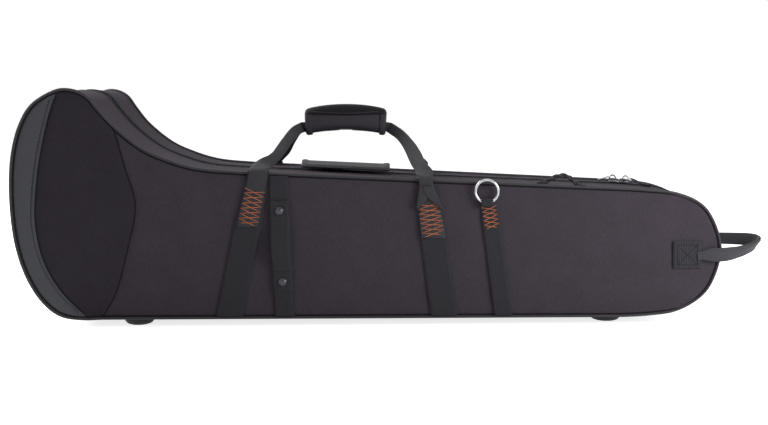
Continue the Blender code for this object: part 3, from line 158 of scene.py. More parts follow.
class NodeBoard:
    """The nodes of a material or a world, with short ways to add and join them."""

    def __init__(self, owner: bpy.types.Material | bpy.types.World, shader: str = "Principled BSDF") -> None:
        """Take up the nodes that an owner starts with.

        Args:
            owner: the material or the world.
            shader: the name of its first shader node.
        """
        owner.use_nodes = True
        self.tree = owner.node_tree
        self.shader = self.tree.nodes[shader]

    def feed(self, node: bpy.types.Node, socket: str | int, value: object) -> None:
        """Join an output to an input, or set the input's own value.

        Args:
            node: the node with the input.
            socket: the input's name or place.
            value: an output socket, or a number or colour.
        """
        if isinstance(value, Socket):
            self.tree.links.new(value, node.inputs[socket])
        else:
            node.inputs[socket].default_value = value

    def add(self, kind: str, inputs: dict[str | int, object], **settings: object) -> bpy.types.NodeOutputs:
        """Add a node.

        Args:
            kind: the node's type name.
            inputs: what each of its inputs is fed.
            settings: its plain settings.

        Returns:
            The outputs of the new node.
        """
        node = given(self.tree.nodes.new(kind), **settings)
        for socket, value in inputs.items():
            self.feed(node, socket, value)
        return node.outputs

    def coordinates(self, reading: Reading) -> Socket:
        """The coordinates that a pattern reads."""
        return self.add("ShaderNodeTexCoord", {})[reading.value]

    def stretched(self, source: Socket, scale: Sequence[float]) -> Socket:
        """The same coordinates, scaled along each axis."""
        return self.add("ShaderNodeMapping", {"Vector": source, "Scale": scale})["Vector"]

    def math(self, operation: str, first: object, second: object) -> Socket:
        """One arithmetic step on two values."""
        return self.add("ShaderNodeMath", {0: first, 1: second}, operation=operation)[0]

    def total(self, *parts: tuple[Socket, float]) -> Socket:
        """The sum of some values, each times its weight."""
        terms = [self.math("MULTIPLY", value, weight) for value, weight in parts]
        for term in terms[1:]:
            terms[0] = self.math("ADD", terms[0], term)
        return terms[0]

    def mottle(self, source: Socket, scale: float, detail: float) -> Socket:
        """A noise value over the coordinates."""
        return self.add("ShaderNodeTexNoise", {"Vector": source, "Scale": scale, "Detail": detail})["Fac"]

    def threads(self, source: Socket, pitch: float, way: str) -> Socket:
        """Rows of threads of one pitch, lying side by side along one axis."""
        inputs = {"Vector": source, "Scale": math.pi / 10 / pitch, "Distortion": 0.4, "Detail": 1.0}
        return self.add("ShaderNodeTexWave", inputs, bands_direction=way)["Fac"]

    def tint(self, value: Socket, colour: Colour, spread: float) -> None:
        """Colour the shader, darker for a low value and lighter for a high one.

        Args:
            value: what the shade follows.
            colour: the middle shade.
            spread: how much darker and lighter it gets.
        """
        node = self.tree.nodes.new("ShaderNodeValToRGB")
        for stop, place, change in zip(node.color_ramp.elements, (0.25, 0.75), (1 - spread, 1 + spread)):
            stop.position = place
            stop.color = (*[min(part * change, 1.0) for part in colour], 1)
        self.feed(node, "Fac", value)
        self.feed(self.shader, "Base Color", node.outputs["Color"])

    def raised(self, height: Socket, distance: float) -> None:
        """Give the shader a bump of that depth."""
        bump = self.add("ShaderNodeBump", {"Height": height, "Distance": distance, "Strength": 1.0})
        self.feed(self.shader, "Normal", bump["Normal"])

    def roughen(self, value: Socket, spread: float, middle: float) -> None:
        """Vary the shader's roughness about its middle."""
        rough = self.math("ADD", self.math("MULTIPLY", value, spread), middle - spread / 2)
        self.feed(self.shader, "Roughness", rough)

    def plain(self, **values: object) -> None:
        """Set the shader's own sockets, each named with underscores for spaces."""
        for key, value in values.items():
            self.shader.inputs[key.replace("_", " ")].default_value = value

    def seen(self) -> Socket:
        """One for rays from the camera, from gloss or through glass, else nought."""
        path = self.add("ShaderNodeLightPath", {})
        both = self.math("MAXIMUM", path["Is Camera Ray"], path["Is Glossy Ray"])
        return self.math("MAXIMUM", both, path["Is Transmission Ray"])


MADE: dict[str, bpy.types.Material] = {}


@dataclass(frozen=True)
class Finish:
    """What every finish has: a name, a slot name, a colour and a gloss."""

    name: str
    slot: str
    colour: Colour
    roughness: float

    def material(self) -> bpy.types.Material:
        """The material, made once."""
        if self.name not in MADE:
            MADE[self.name] = bpy.data.materials.new(self.name)
            self.dress(NodeBoard(MADE[self.name]))
        return MADE[self.name]

    def dress(self, board: NodeBoard) -> None:
        """Fill in the nodes."""
        raise NotImplementedError


@dataclass(frozen=True)
class Woven(Finish):
    """Woven cloth or webbing, with threads both ways and ribs along a strap."""

    thread: float = 0.001
    rib: float = 0.0
    depth: float = 0.00025
    spread: float = 0.26
    sheen: float = 0.06
    specular: float = 0.2
    reading: Reading = Reading.SURFACE

    def dress(self, board: NodeBoard) -> None:
        """Threads, ribs, slubs and a slight unevenness of the dye."""
        source = board.coordinates(self.reading)
        warp = board.threads(source, self.thread, "X")
        weave = board.math("MULTIPLY", warp, board.threads(source, self.thread, "Y"))
        if self.rib:
            weave = board.total((board.threads(source, self.rib, "X"), 0.7), (weave, 0.3))
        slubs = board.mottle(board.stretched(source, (1.0, 0.35, 1.0)), 520.0, 2.0)
        dye = board.mottle(source, 34.0, 4.0)
        board.tint(board.total((slubs, 0.45), (dye, 0.35), (weave, 0.2)), self.colour, self.spread)
        board.raised(board.math("ADD", weave, board.math("MULTIPLY", slubs, 0.6)), self.depth)
        board.roughen(dye, 0.12, self.roughness)
        board.plain(Sheen_Weight=self.sheen, Sheen_Roughness=0.45, Specular_IOR_Level=self.specular)


@dataclass(frozen=True)
class Grained(Finish):
    """Vinyl, leather or rubber with a fine pebbled grain."""

    grain: float = 0.0016
    depth: float = 0.00015
    spread: float = 0.18
    coat: float = 0.0
    specular: float = 0.5

    def dress(self, board: NodeBoard) -> None:
        """Pebbles with creases between them, scuffed a little."""
        source = board.coordinates(Reading.PIECE)
        pebbles = board.add("ShaderNodeTexVoronoi", {"Vector": source, "Scale": 1.0 / self.grain})["Distance"]
        scuff = board.mottle(source, 90.0, 5.0)
        board.tint(scuff, self.colour, self.spread)
        board.raised(board.math("ADD", pebbles, board.math("MULTIPLY", scuff, 0.5)), self.depth)
        board.roughen(scuff, 0.2, self.roughness)
        board.plain(Coat_Weight=self.coat, Coat_Roughness=0.25, Specular_IOR_Level=self.specular)


@dataclass(frozen=True)
class Metal(Finish):
    """Plated or lacquered metal with fine scratches and a little tarnish."""

    coat: float = 0.0
    metallic: float = 1.0

    def dress(self, board: NodeBoard) -> None:
        """Scratches one way and cloudy patches."""
        source = board.coordinates(Reading.PIECE)
        scratch = board.mottle(board.stretched(source, (1.0, 1.0, 9.0)), 700.0, 2.0)
        board.tint(board.mottle(source, 160.0, 3.0), self.colour, 0.1)
        board.roughen(scratch, 0.16, self.roughness)
        board.raised(scratch, 0.00003)
        board.plain(Metallic=self.metallic, Coat_Weight=self.coat, Coat_Roughness=0.12)


@dataclass(frozen=True)
class Plywood(Finish):
    """Thin light plywood, grain along the case."""

    def dress(self, board: NodeBoard) -> None:
        """Long grain with darker growth lines."""
        source = board.stretched(board.coordinates(Reading.PIECE), (0.12, 1.0, 1.0))
        grain = board.mottle(source, 180.0, 6.0)
        board.tint(board.total((grain, 0.5), (board.mottle(source, 36.0, 2.0), 0.5)), self.colour, 0.25)
        board.raised(grain, 0.0002)
        board.plain(Roughness=self.roughness)


BODY_CLOTH = Woven("body_cloth", "shell_fabric", (0.046, 0.037, 0.048), 0.84, thread=0.0012, specular=0.12)
# The face's fabric painted lighter for the band round the wall, so that its top reads as lit: painted light
LIT_GUSSET_CLOTH = Woven("lit_gusset_cloth", "shell_fabric", (0.055, 0.046, 0.057), 0.86, thread=0.0012, sheen=0.0,
                     specular=0.06)
BELL_CLOTH = Woven("bell_cloth", "bell_fabric", (0.027, 0.022, 0.0305), 0.86, thread=0.0012, specular=0.1)
GUARD_CLOTH = Woven("guard_cloth", "guard_fabric", (0.042, 0.043, 0.052), 0.66, thread=0.0009,
                    depth=0.00015, spread=0.2, specular=0.32)
# A lighter copy of the guard cloth for the hem strip: its lighter tone is a painted highlight along the hem
HEM_HIGHLIGHT_CLOTH = Woven("hem_highlight_cloth", "guard_fabric", (0.054, 0.055, 0.063), 0.6, thread=0.0009, spread=0.18)
PIPING_VINYL = Grained("piping_vinyl", "piping", (0.021, 0.019, 0.023), 0.56, grain=0.0012, specular=0.3)
# Near-black thread for stitches, also used for the cords laid in the seams and beside the piping as painted
# shadow
THREAD_AND_SEAM_SHADOW = Grained("seam_shadow", "piping", (0.01, 0.009, 0.011), 0.8, grain=0.001, specular=0.1)
WEBBING = Woven("nylon_webbing", "webbing", (0.0178, 0.0174, 0.0216), 0.76, rib=0.0024,
                depth=0.0002)
FOLDED_WEBBING = Woven("folded_webbing", "webbing", (0.024, 0.023, 0.028), 0.74,
                       rib=0.0022, depth=0.0003, spread=0.3, specular=0.28)
LOOP_WEBBING = Woven("loop_webbing", "webbing", (0.036, 0.035, 0.041), 0.72, rib=0.0022,
                     depth=0.0003, spread=0.3, specular=0.28)
PATCH_WEBBING = Woven("patch_webbing", "webbing", (0.022, 0.0205, 0.025), 0.74, rib=0.003,
                      depth=0.0003, spread=0.3, specular=0.2)
EDGE_THREAD = Woven("edge_thread", "webbing", (0.03, 0.029, 0.034), 0.66, thread=0.0005, depth=0.0001)
DARK_THREAD = Woven("dark_thread", "webbing", (0.062, 0.058, 0.066), 0.66, thread=0.0005, depth=0.0001)
RUST_THREAD = Woven("rust_thread", "webbing", (0.56, 0.17, 0.075), 0.6, thread=0.0005, depth=0.0001,
                    spread=0.45)
ZIP_CLOTH = Woven("zip_cloth", "zip_tape", (0.019, 0.019, 0.022), 0.82, thread=0.0006, rib=0.0016, sheen=0.0,
                  specular=0.08)
COIL_NYLON = Grained("coil_nylon", "zip_tape", (0.016, 0.016, 0.018), 0.6, grain=0.001, specular=0.15)
GRIP_HIDE = Grained("grip_hide", "grip_leather", (0.026, 0.023, 0.029), 0.62, grain=0.0019, depth=0.0003,
                    specular=0.2)
FLAP_HIDE = Grained("flap_hide", "grip_leather", (0.0075, 0.007, 0.009), 0.62, grain=0.0017, depth=0.0003,
                    specular=0.1)
HOLDER_VINYL = Grained("holder_vinyl", "holder_vinyl", (0.026, 0.026, 0.03), 0.52, coat=0.06, specular=0.3)
PLATED = Metal("plated_steel", "metal", (0.4, 0.4, 0.42), 0.22)
GUNMETAL = Metal("gunmetal_snap", "metal", (0.055, 0.055, 0.061), 0.18)
SILVERED = Metal("silvered_zinc", "slider_metal", (0.2, 0.2, 0.215), 0.3)
LACQUERED = Metal("black_lacquer", "slider_metal", (0.055, 0.055, 0.06), 0.34, coat=0.3, metallic=0.6)
FOOT_RUBBER = Grained("foot_rubber", "foot_rubber", (0.022, 0.021, 0.025), 0.62, grain=0.001, specular=0.3)
PLY = Plywood("ply_wall", "frame_wood", (0.42, 0.3, 0.18), 0.7)
PLUSH = Woven("lining_plush", "plush", (0.04, 0.04, 0.048), 0.92, thread=0.0016, depth=0.0006,
              spread=0.35, sheen=0.6, reading=Reading.PIECE)
BOX_PLUSH = Woven("box_plush", "box_board", (0.052, 0.052, 0.06), 0.9, thread=0.0016, depth=0.0006,
                  spread=0.3, sheen=0.5, reading=Reading.PIECE)


# Meshes

@dataclass
class Frame:
    """One cross-section's place: its middle, its two directions and its size."""

    at: Vector
    wide: Vector
    proud: Vector
    width: float
    thick: float


def shares(count: int) -> list[float]:
    """Evenly spaced shares from 0 to 1, one more than the count."""
    return [step / count for step in range(count + 1)]


def squared(way: Vector, along: Vector) -> Vector:
    """A direction turned square to another."""
    return (way - along * way.dot(along)).normalized()


def falling(distance: float, reach: float) -> float:
    """One at no distance, falling smoothly to nought."""
    return math.exp(-((distance / reach) ** 2))


def placed(name: str, data: bpy.types.ID) -> Piece:
    """A linked object that holds the data."""
    item = bpy.data.objects.new(name, data)
    bpy.context.scene.collection.objects.link(item)
    return item


def fasten(item: Piece, body: str, *nodes: str) -> Piece:
    """Ride a piece on a body, in place of the nodes that it stands for."""
    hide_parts(*nodes)
    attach(item, body)
    log.info("%s", item.name)
    return item


def to_piece(name: str, work: Sheet, finish: Finish, sharp: float = 40.0) -> Piece:
    """Turn a finished bmesh into a dressed, linked object.

    Args:
        name: the piece's name.
        work: the bmesh, which is freed.
        finish: its finish.
        sharp: the angle in degrees past which an edge stays crisp.

    Returns:
        The new piece.
    """
    mesh = bpy.data.meshes.new(name)
    work.to_mesh(mesh)
    work.free()
    mesh.shade_smooth()
    mesh.set_sharp_from_angle(angle=math.radians(sharp))
    mesh.materials.append(finish.material())
    item = placed(name, mesh)
    return item or item


def mapped(name: str, steps: tuple[int, int], spot: Spot, lay: Lay, finish: Finish,
           wrap: bool = False, solid: bool = False, hub: Vector | None = None) -> Piece:
    """A grid laid onto a surface, with its UV map in metres.

    Args:
        name: the piece's name.
        steps: how many faces it has each way.
        spot: the place of each pair of shares.
        lay: the UV of each pair of shares.
        finish: its finish.
        wrap: whether its edges meet and are merged.
        solid: whether its open ends are closed.
        hub: for an open sheet, the point that it faces away from.

    Returns:
        The new piece.
    """
    work = bmesh.new()
    bmesh.ops.create_grid(work, x_segments=steps[0], y_segments=steps[1], size=0.5)
    layer = work.loops.layers.uv.new("UVMap")
    for face in work.faces:
        for loop in face.loops:
            loop[layer].uv = lay(loop.vert.co.x + 0.5, loop.vert.co.y + 0.5)
    for vert in work.verts:
        vert.co = spot(vert.co.x + 0.5, vert.co.y + 0.5)
    if wrap or solid:
        bmesh.ops.remove_doubles(work, verts=work.verts[:], dist=1e-6)
    if solid:
        bmesh.ops.holes_fill(work, edges=[edge for edge in work.edges if edge.is_boundary])
    if hub is None:
        bmesh.ops.recalc_face_normals(work, faces=work.faces[:])
    else:
        work.normal_update()
        if sum(face.normal.dot(face.calc_center_median() - hub) for face in work.faces) < 0:
            bmesh.ops.reverse_faces(work, faces=work.faces[:])
    return to_piece(name, work, finish)


def lengths(points: Points) -> list[float]:
    """The length along a row of points, up to each."""
    marks = [0.0]
    for first, second in zip(points, points[1:]):
        marks.append(marks[-1] + (second - first).length)
    return marks


def flat_profile(across: int = 8, edge: float = 0.035) -> list[Share]:
    """A flat strap's section of width and thickness one, with soft edges."""
    half = 0.5 - edge
    top = [(-half + 2 * half * step / across, 0.5) for step in range(across + 1)]
    right = [(0.5, 0.22), (0.5, -0.22)]
    return top + right + [(w, -0.5) for w, _ in reversed(top)] + [(-0.5, -0.22), (-0.5, 0.22)]


# Webbing folded double: two layers that part along one edge
DOUBLED = (
    (-0.46, 0.5), (-0.2, 0.54), (0.1, 0.54), (0.42, 0.5), (0.5, 0.32), (0.48, 0.1), (0.3, 0.0),
    (0.48, -0.1), (0.5, -0.32), (0.42, -0.5), (0.1, -0.54), (-0.2, -0.54), (-0.46, -0.5), (-0.5, -0.25),
    (-0.47, 0.0), (-0.5, 0.25),
)


def round_profile(sides: int = 12) -> list[Share]:
    """A round section of width and thickness one."""
    turns = [2 * math.pi * step / sides for step in range(sides)]
    return [(math.cos(turn) / 2, math.sin(turn) / 2) for turn in turns]


def sweep(name: str, frames: Sequence[Frame], profile: Sequence[Share], finish: Finish,
          closed: bool = False) -> Piece:
    """A section carried along a row of frames.

    Args:
        name: the piece's name.
        frames: where the section stands.
        profile: the section's points, for width and thickness one.
        finish: its finish.
        closed: whether the last frame joins the first.

    Returns:
        The new piece.
    """
    around = len(profile)
    runs = len(frames) if closed else len(frames) - 1
    looped = [*frames, frames[0]] if closed else list(frames)
    marks = lengths([row.at for row in looped])
    wide = max(row.width for row in frames)
    thick = max(row.thick for row in frames)
    girth = lengths([Vector((w * wide, t * thick)) for w, t in [*profile, profile[0]]])

    def spot(u: float, v: float) -> Vector:
        """The section's point, set on its frame."""
        row = looped[round(v * runs)]
        w, t = profile[round(u * around) % around]
        return row.at + row.wide * (w * row.width) + row.proud * (t * row.thick)

    def lay(u: float, v: float) -> tuple[float, float]:
        """Metres round the section and along the run."""
        return girth[round(u * around)], marks[round(v * runs)]

    return mapped(name, (around, runs), spot, lay, finish, wrap=True, solid=not closed)


def headings(points: Points, closed: bool = False) -> list[Vector]:
    """The way along a row of points, at each of them."""
    last = len(points) - 1
    ways = []
    for index in range(last + 1):
        before = points[index - 1] if closed or index else points[0]
        after = points[(index + 1) % (last + 1)] if closed or index < last else points[-1]
        ways.append((after - before).normalized())
    return ways


def cord_frames(points: Points, radius: float | Sequence[float], hint: Vector,
                closed: bool = False) -> list[Frame]:
    """Frames for a round section that doesn't twist along a row of points."""
    frames = []
    proud = hint
    for index, along in enumerate(headings(points, closed)):
        proud = squared(proud, along)
        size = radius if isinstance(radius, float) else radius[index]
        frames.append(Frame(points[index], along.cross(proud), proud, size * 2, size * 2))
    return frames


def tube(name: str, points: Points, radius: float | Sequence[float], finish: Finish,
         hint: Vector = Z_AXIS, closed: bool = False, sides: int = 12) -> Piece:
    """A round cord or wire along a row of points."""
    return sweep(name, cord_frames(points, radius, hint, closed), round_profile(sides), finish, closed)


def circle(centre: Vector, first: Vector, second: Vector, radius: float, count: int) -> list[Vector]:
    """Points round a circle, from its first direction towards its second."""
    turns = [2 * math.pi * step / count for step in range(count)]
    return [centre + (first * math.cos(turn) + second * math.sin(turn)) * radius for turn in turns]


def traced(corners: Sequence[Share], steps: int) -> list[Share]:
    """Evenly spaced pairs along the lines between corners, without the last corner."""
    return [(a + (c - a) * step / steps, b + (d - b) * step / steps)
            for (a, b), (c, d) in zip(corners, corners[1:]) for step in range(steps)]


def lathe(name: str, profile: Sequence[Share], centre: Vector, axis: Vector, finish: Finish,
          steps: int = 40) -> Piece:
    """A turned shape: radius and height pairs spun about an axis.

    Args:
        name: the piece's name.
        profile: radius and height pairs, from one pole to the other.
        centre: where height 0 stands.
        axis: the direction in which height grows.
        finish: its finish.
        steps: how many steps make the turn.

    Returns:
        The new piece.
    """
    work = bmesh.new()
    verts = [work.verts.new((radius, 0, height)) for radius, height in profile]
    edges = [work.edges.new(pair) for pair in zip(verts, verts[1:])]
    bmesh.ops.spin(work, geom=[*verts, *edges], cent=(0, 0, 0), axis=(0, 0, 1), angle=2 * math.pi,
                   steps=steps, use_merge=True)
    bmesh.ops.remove_doubles(work, verts=work.verts[:], dist=1e-6)
    bmesh.ops.recalc_face_normals(work, faces=work.faces[:])
    turn = Z_AXIS.rotation_difference(axis).to_matrix().to_4x4()
    bmesh.ops.transform(work, matrix=Matrix.Translation(centre) @ turn, verts=work.verts[:])
    return to_piece(name, work, finish, 50.0)


def soften(work: Sheet, offset: float, segments: int = 1,
           edges: Sequence[bmesh.types.BMEdge] | None = None) -> list[bmesh.types.BMFace]:
    """Bevel some of a bmesh's edges.

    Args:
        work: the bmesh.
        offset: how far the bevel reaches.
        segments: how round it is.
        edges: the edges, or none for all of them.

    Returns:
        The faces of the bevel.
    """
    return bmesh.ops.bevel(work, geom=edges or work.edges[:], offset=offset, segments=segments, profile=0.5,
                           affect="EDGES", material=-1)["faces"]


def add_bar(work: Sheet, at: Vector, axes: tuple[Vector, Vector, Vector],
            size: Sequence[float]) -> None:
    """Add a block that lies along three axes to a bmesh."""
    place = Matrix.Translation(at) @ Matrix(axes).transposed().to_4x4()
    made = bmesh.ops.create_cube(work, size=1.0, matrix=place)
    bmesh.ops.scale(work, vec=size, verts=made["verts"], space=place.inverted())


def rounded_block(name: str, size: Sequence[float], place: Matrix, bevel: float, segments: int,
                  finish: Finish) -> Piece:
    """A block with rounded edges.

    Args:
        name: the piece's name.
        size: its length, width and height.
        place: where it stands.
        bevel: its edges' radius.
        segments: how round the edges are.
        finish: its finish.

    Returns:
        The new piece.
    """
    work = bmesh.new()
    bmesh.ops.create_cube(work, size=1.0)
    bmesh.ops.scale(work, vec=size, verts=work.verts[:])
    soften(work, bevel, segments)
    bmesh.ops.transform(work, matrix=place, verts=work.verts[:])
    return to_piece(name, work, finish)


def stitches(name: str, points: Points, out: Vector | Points, finish: Finish,
             pitch: float = 0.0042, width: float = 0.0007) -> Piece:
    """A row of sewn stitches along a path.

    Args:
        name: the piece's name.
        points: the path.
        out: the way out of the cloth, everywhere or at each point.
        finish: the thread.
        pitch: the length of a stitch and the hole after it.
        width: the thread's width.

    Returns:
        The row as one piece.
    """
    marks = lengths(points)
    work = bmesh.new()
    index = 0
    for number in range(int(marks[-1] / pitch)):
        aim = (number + 0.5) * pitch
        while index < len(points) - 2 and marks[index + 1] < aim:
            index += 1
        share = (aim - marks[index]) / max(marks[index + 1] - marks[index], 1e-9)
        along = (points[index + 1] - points[index]).normalized()
        proud = squared(out if isinstance(out, Vector) else out[index], along)
        add_bar(work, points[index].lerp(points[index + 1], share), (along, proud.cross(along), proud),
                (pitch * 0.72, width, width * 0.8))
    soften(work, width * 0.22)
    return to_piece(name, work, finish, 80.0)


def modify(item: Piece, name: str, kind: str, **settings: object) -> Piece:
    """Give a piece a modifier with these settings."""
    given(item.modifiers.new(name, kind), **settings)
    return item


def thicken(item: Piece, depth: float) -> Piece:
    """Give an open sheet its thickness, inwards from its faces."""
    return modify(item, "thickness", "SOLIDIFY", thickness=depth, offset=-1.0)


def settle(item: Piece) -> Piece:
    """Apply every modifier of a piece to its mesh."""
    shown = item.evaluated_get(bpy.context.evaluated_depsgraph_get())
    mesh = bpy.data.meshes.new_from_object(shown)
    item.modifiers.clear()
    item.data = mesh
    return item


def copied(node: str) -> Sheet:
    """A CAD node's solid as a bmesh of its own, its doubles merged."""
    work = bmesh.new()
    work.from_mesh(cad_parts[node].data)
    bmesh.ops.remove_doubles(work, verts=work.verts[:], dist=1e-5)
    return work


@dataclass
class Puffing:
    """How a padded piece is filled by the cloth solver."""

    voxel: float
    reach: float
    pressure: float = 4.0
    frames: int = 20

    def fill(self, item: Piece, keep: Callable[[Vector], Vector]) -> Piece:
        """Remesh a closed piece, blow it up a little and smooth it.

        Args:
            item: the piece.
            keep: puts a moved point back where it may be.

        Returns:
            The same piece, its result applied.
        """
        settle(modify(item, "even", "REMESH", mode="VOXEL", voxel_size=self.voxel))
        start = [vert.co.copy() for vert in item.data.vertices]
        cloth = item.modifiers.new("fill", "CLOTH")
        given(cloth.settings, use_pressure=True, uniform_pressure_force=self.pressure, quality=6)
        cloth.settings.effector_weights.gravity = 0.0
        given(cloth.point_cache, frame_start=1, frame_end=self.frames)
        for number in range(1, self.frames + 1):
            bpy.context.scene.frame_set(number)
        settle(item)
        bpy.context.scene.frame_set(1)
        for vert, home in zip(item.data.vertices, start):
            way = vert.co - home
            if way.length > self.reach:
                vert.co = home + way.normalized() * self.reach
            vert.co = keep(vert.co)
        settle(modify(item, "smooth", "SMOOTH", iterations=3, factor=0.5))
        modify(item, "finer", "SUBSURF", levels=1, render_levels=1)
        item.data.shade_smooth()
        return item


# The case's outline and shells

@dataclass
class Run:
    """A row of points in the side view, with the mark that each one has."""

    points: list[Vector]
    marks: list[float] = field(default_factory=list)

    def __post_init__(self) -> None:
        """Mark the points by length where no marks are given."""
        if not self.marks:
            self.marks = lengths(self.points)

    def at(self, share: float) -> Vector:
        """The point at a share of the marks."""
        aim = self.marks[-1] * min(max(share, 0.0), 1.0)
        high = min(bisect_right(self.marks, aim), len(self.marks) - 1)
        low = high - 1
        span = max(self.marks[high] - self.marks[low], 1e-12)
        return self.points[low].lerp(self.points[high], (aim - self.marks[low]) / span)

    def backwards(self) -> Run:
        """The same run from its other end."""
        last = self.marks[-1]
        return Run(self.points[::-1], [last - mark for mark in reversed(self.marks)])

    def length(self) -> float:
        """Its length in metres."""
        return lengths(self.points)[-1]


def at_shares(pair: Share) -> Vector:
    """The (x, z) point at shares of the case's length and the bell's height."""
    return Vector((LEFT_X + pair[0] * CASE_LENGTH, FOOT_HEIGHT + pair[1] * BELL_HEIGHT))


def share_x(share: float) -> float:
    """The x at a share of the case's length."""
    return LEFT_X + share * CASE_LENGTH


def curve_step(before: Vector, start: Vector, end: Vector, after: Vector, steps: int) -> list[Vector]:
    """Centripetal curve points from start up to, but without, end."""
    knots = [0.0]
    for first, second in ((before, start), (start, end), (end, after)):
        knots.append(knots[-1] + math.sqrt((second - first).length))

    def mix(low: Vector, high: Vector, a: int, b: int, at: float) -> Vector:
        """The point that a knot value marks between two others."""
        return low.lerp(high, (at - knots[a]) / (knots[b] - knots[a]))

    points = []
    for step in range(steps):
        at = knots[1] + (knots[2] - knots[1]) * step / steps
        first, middle = mix(before, start, 0, 1, at), mix(start, end, 1, 2, at)
        last = mix(end, after, 2, 3, at)
        points.append(mix(mix(first, middle, 0, 2, at), mix(middle, last, 1, 3, at), 1, 2, at))
    return points


def smooth_open(points: Points, steps: int) -> list[Vector]:
    """A smooth run through every point, with its ends carried straight on."""
    padded = [points[0] * 2 - points[1], *points, points[-1] * 2 - points[-2]]
    run = []
    for index in range(1, len(points)):
        run += curve_step(*padded[index - 1:index + 3], steps)
    return run + [points[-1].copy()]


class Outline:
    """The side view of the case: one closed smooth curve with named stretches."""

    NAMES = ("left", "bell_top", "body_top", "tail", "body_base", "bell_base")
    SAMPLES = 900

    def __init__(self) -> None:
        """Lay out the curve, its seams and a table of its heights."""
        stretches = (LEFT_SHARES, BELL_TOP_SHARES, BODY_TOP_SHARES, TAIL_SHARES, BODY_BASE_SHARES,
                     BELL_BASE_SHARES)
        points = [at_shares(pair) for stretch in stretches for pair in stretch]
        starts = [0]
        for stretch in stretches:
            starts.append(starts[-1] + len(stretch))
        starts[1] -= 1
        self.starts = [start * DENSE_STEPS for start in starts]
        self.dense: list[Vector] = []
        for index in range(len(points)):
            around = [points[(index + shift) % len(points)] for shift in (-1, 0, 1, 2)]
            self.dense += curve_step(*around, DENSE_STEPS)
        for point in self.dense:
            point.y = max(point.y, FOOT_HEIGHT)
        self.body_seam = smooth_open([at_shares(pair) for pair in BODY_SEAM_SHARES], DENSE_STEPS)
        self.guard_seam = smooth_open([at_shares(pair) for pair in GUARD_SEAM_SHARES], DENSE_STEPS)
        middle = FOOT_HEIGHT + 0.3 * BELL_HEIGHT
        self.heights: list[Share] = []
        for step in range(self.SAMPLES + 1):
            found = self.crossings(0, LEFT_X + CASE_LENGTH * step / self.SAMPLES) or [middle]
            self.heights.append((min(found), max(found)))

    def crossings(self, axis: int, value: float) -> list[float]:
        """Where the outline has that x (axis 0) or z (axis 1), along the other axis."""
        found = []
        for low, high in zip(self.dense, self.dense[1:] + self.dense[:1]):
            if (low[axis] - value) * (high[axis] - value) <= 0 and low[axis] != high[axis]:
                share = (value - low[axis]) / (high[axis] - low[axis])
                found.append(low.lerp(high, share)[1 - axis])
        return found

    def span(self, x: float) -> tuple[float, float]:
        """The lowest and highest z at one x, from the table."""
        place = min(max((x - LEFT_X) / CASE_LENGTH, 0.0), 1.0) * self.SAMPLES
        index = min(int(place), self.SAMPLES - 1)
        share = place - index
        (low, high), (low_on, high_on) = self.heights[index], self.heights[index + 1]
        return low + (low_on - low) * share, high + (high_on - high) * share

    def top(self, x: float) -> float:
        """The height of the upper edge at one x."""
        return self.span(x)[1]

    def right(self, z: float) -> float:
        """The x of the tail's surface at one height."""
        return max(self.crossings(1, z))

    def seam_x(self, z: float) -> float:
        """Where the body seam lies at one height."""
        run = self.body_seam
        if z <= run[0].y:
            return run[0].x
        for low, high in zip(run, run[1:]):
            if low.y <= z <= high.y:
                return low.lerp(high, (z - low.y) / max(high.y - low.y, 1e-9)).x
        return run[-1].x

    def moved(self, inset: float) -> list[Vector]:
        """The dense outline moved inwards, or outwards where inset is negative."""
        count = len(self.dense)
        result = []
        for index, point in enumerate(self.dense):
            along = (self.dense[(index + 1) % count] - self.dense[index - 1]).normalized()
            result.append(point + Vector((along.y, -along.x)) * inset)
        return result

    def stretch(self, name: str, inset: float) -> Run:
        """One named stretch of a moved copy, marked by length and turning."""
        place = self.NAMES.index(name)
        start, end = self.starts[place], self.starts[place + 1]
        dense = self.moved(inset)
        count = len(self.dense)
        marks = [0.0]
        for index in range(start, end):
            here = self.dense[(index + 1) % count] - self.dense[index]
            last = self.dense[index] - self.dense[index - 1]
            turn = abs(here.angle(last)) if here.length and last.length else 0.0
            marks.append(marks[-1] + here.length + TURN_WEIGHT * turn)
        return Run([dense[index % count] for index in range(start, end + 1)], marks)

    def slice_at(self, name: str, share: float) -> int:
        """The dense index nearest to a share of one stretch."""
        run = self.stretch(name, 0.0)
        aim = run.marks[-1] * share
        nearest = min(range(len(run.marks)), key=lambda index: abs(run.marks[index] - aim))
        return self.starts[self.NAMES.index(name)] + nearest


OUTLINE = Outline()
HUB = Vector((-0.05, ZIP_Y, 0.12))
RIM = Run([*OUTLINE.dense, OUTLINE.dense[0]])


@dataclass
class Patch:
    """Four runs round a panel, and the points between them."""

    left: Run
    right: Run
    base: Run
    top: Run

    def at(self, u: float, v: float) -> Vector:
        """The point at shares across and up."""
        sides = self.left.at(v) * (1 - u) + self.right.at(v) * u
        ends = self.base.at(u) * (1 - v) + self.top.at(u) * v
        low = self.base.at(0) * (1 - u) + self.base.at(1) * u
        high = self.top.at(0) * (1 - u) + self.top.at(1) * u
        return sides + ends - (low * (1 - v) + high * v)


def crowded(share: float, amount: float = 0.9) -> float:
    """A share moved towards the nearer end, for more points at a panel's edges."""
    return share - amount * math.sin(2 * math.pi * share) / (2 * math.pi)


def eased(share: float) -> float:
    """A share held between 0 and 1 that starts and stops softly."""
    share = min(max(share, 0.0), 1.0)
    return share * share * (3 - 2 * share)


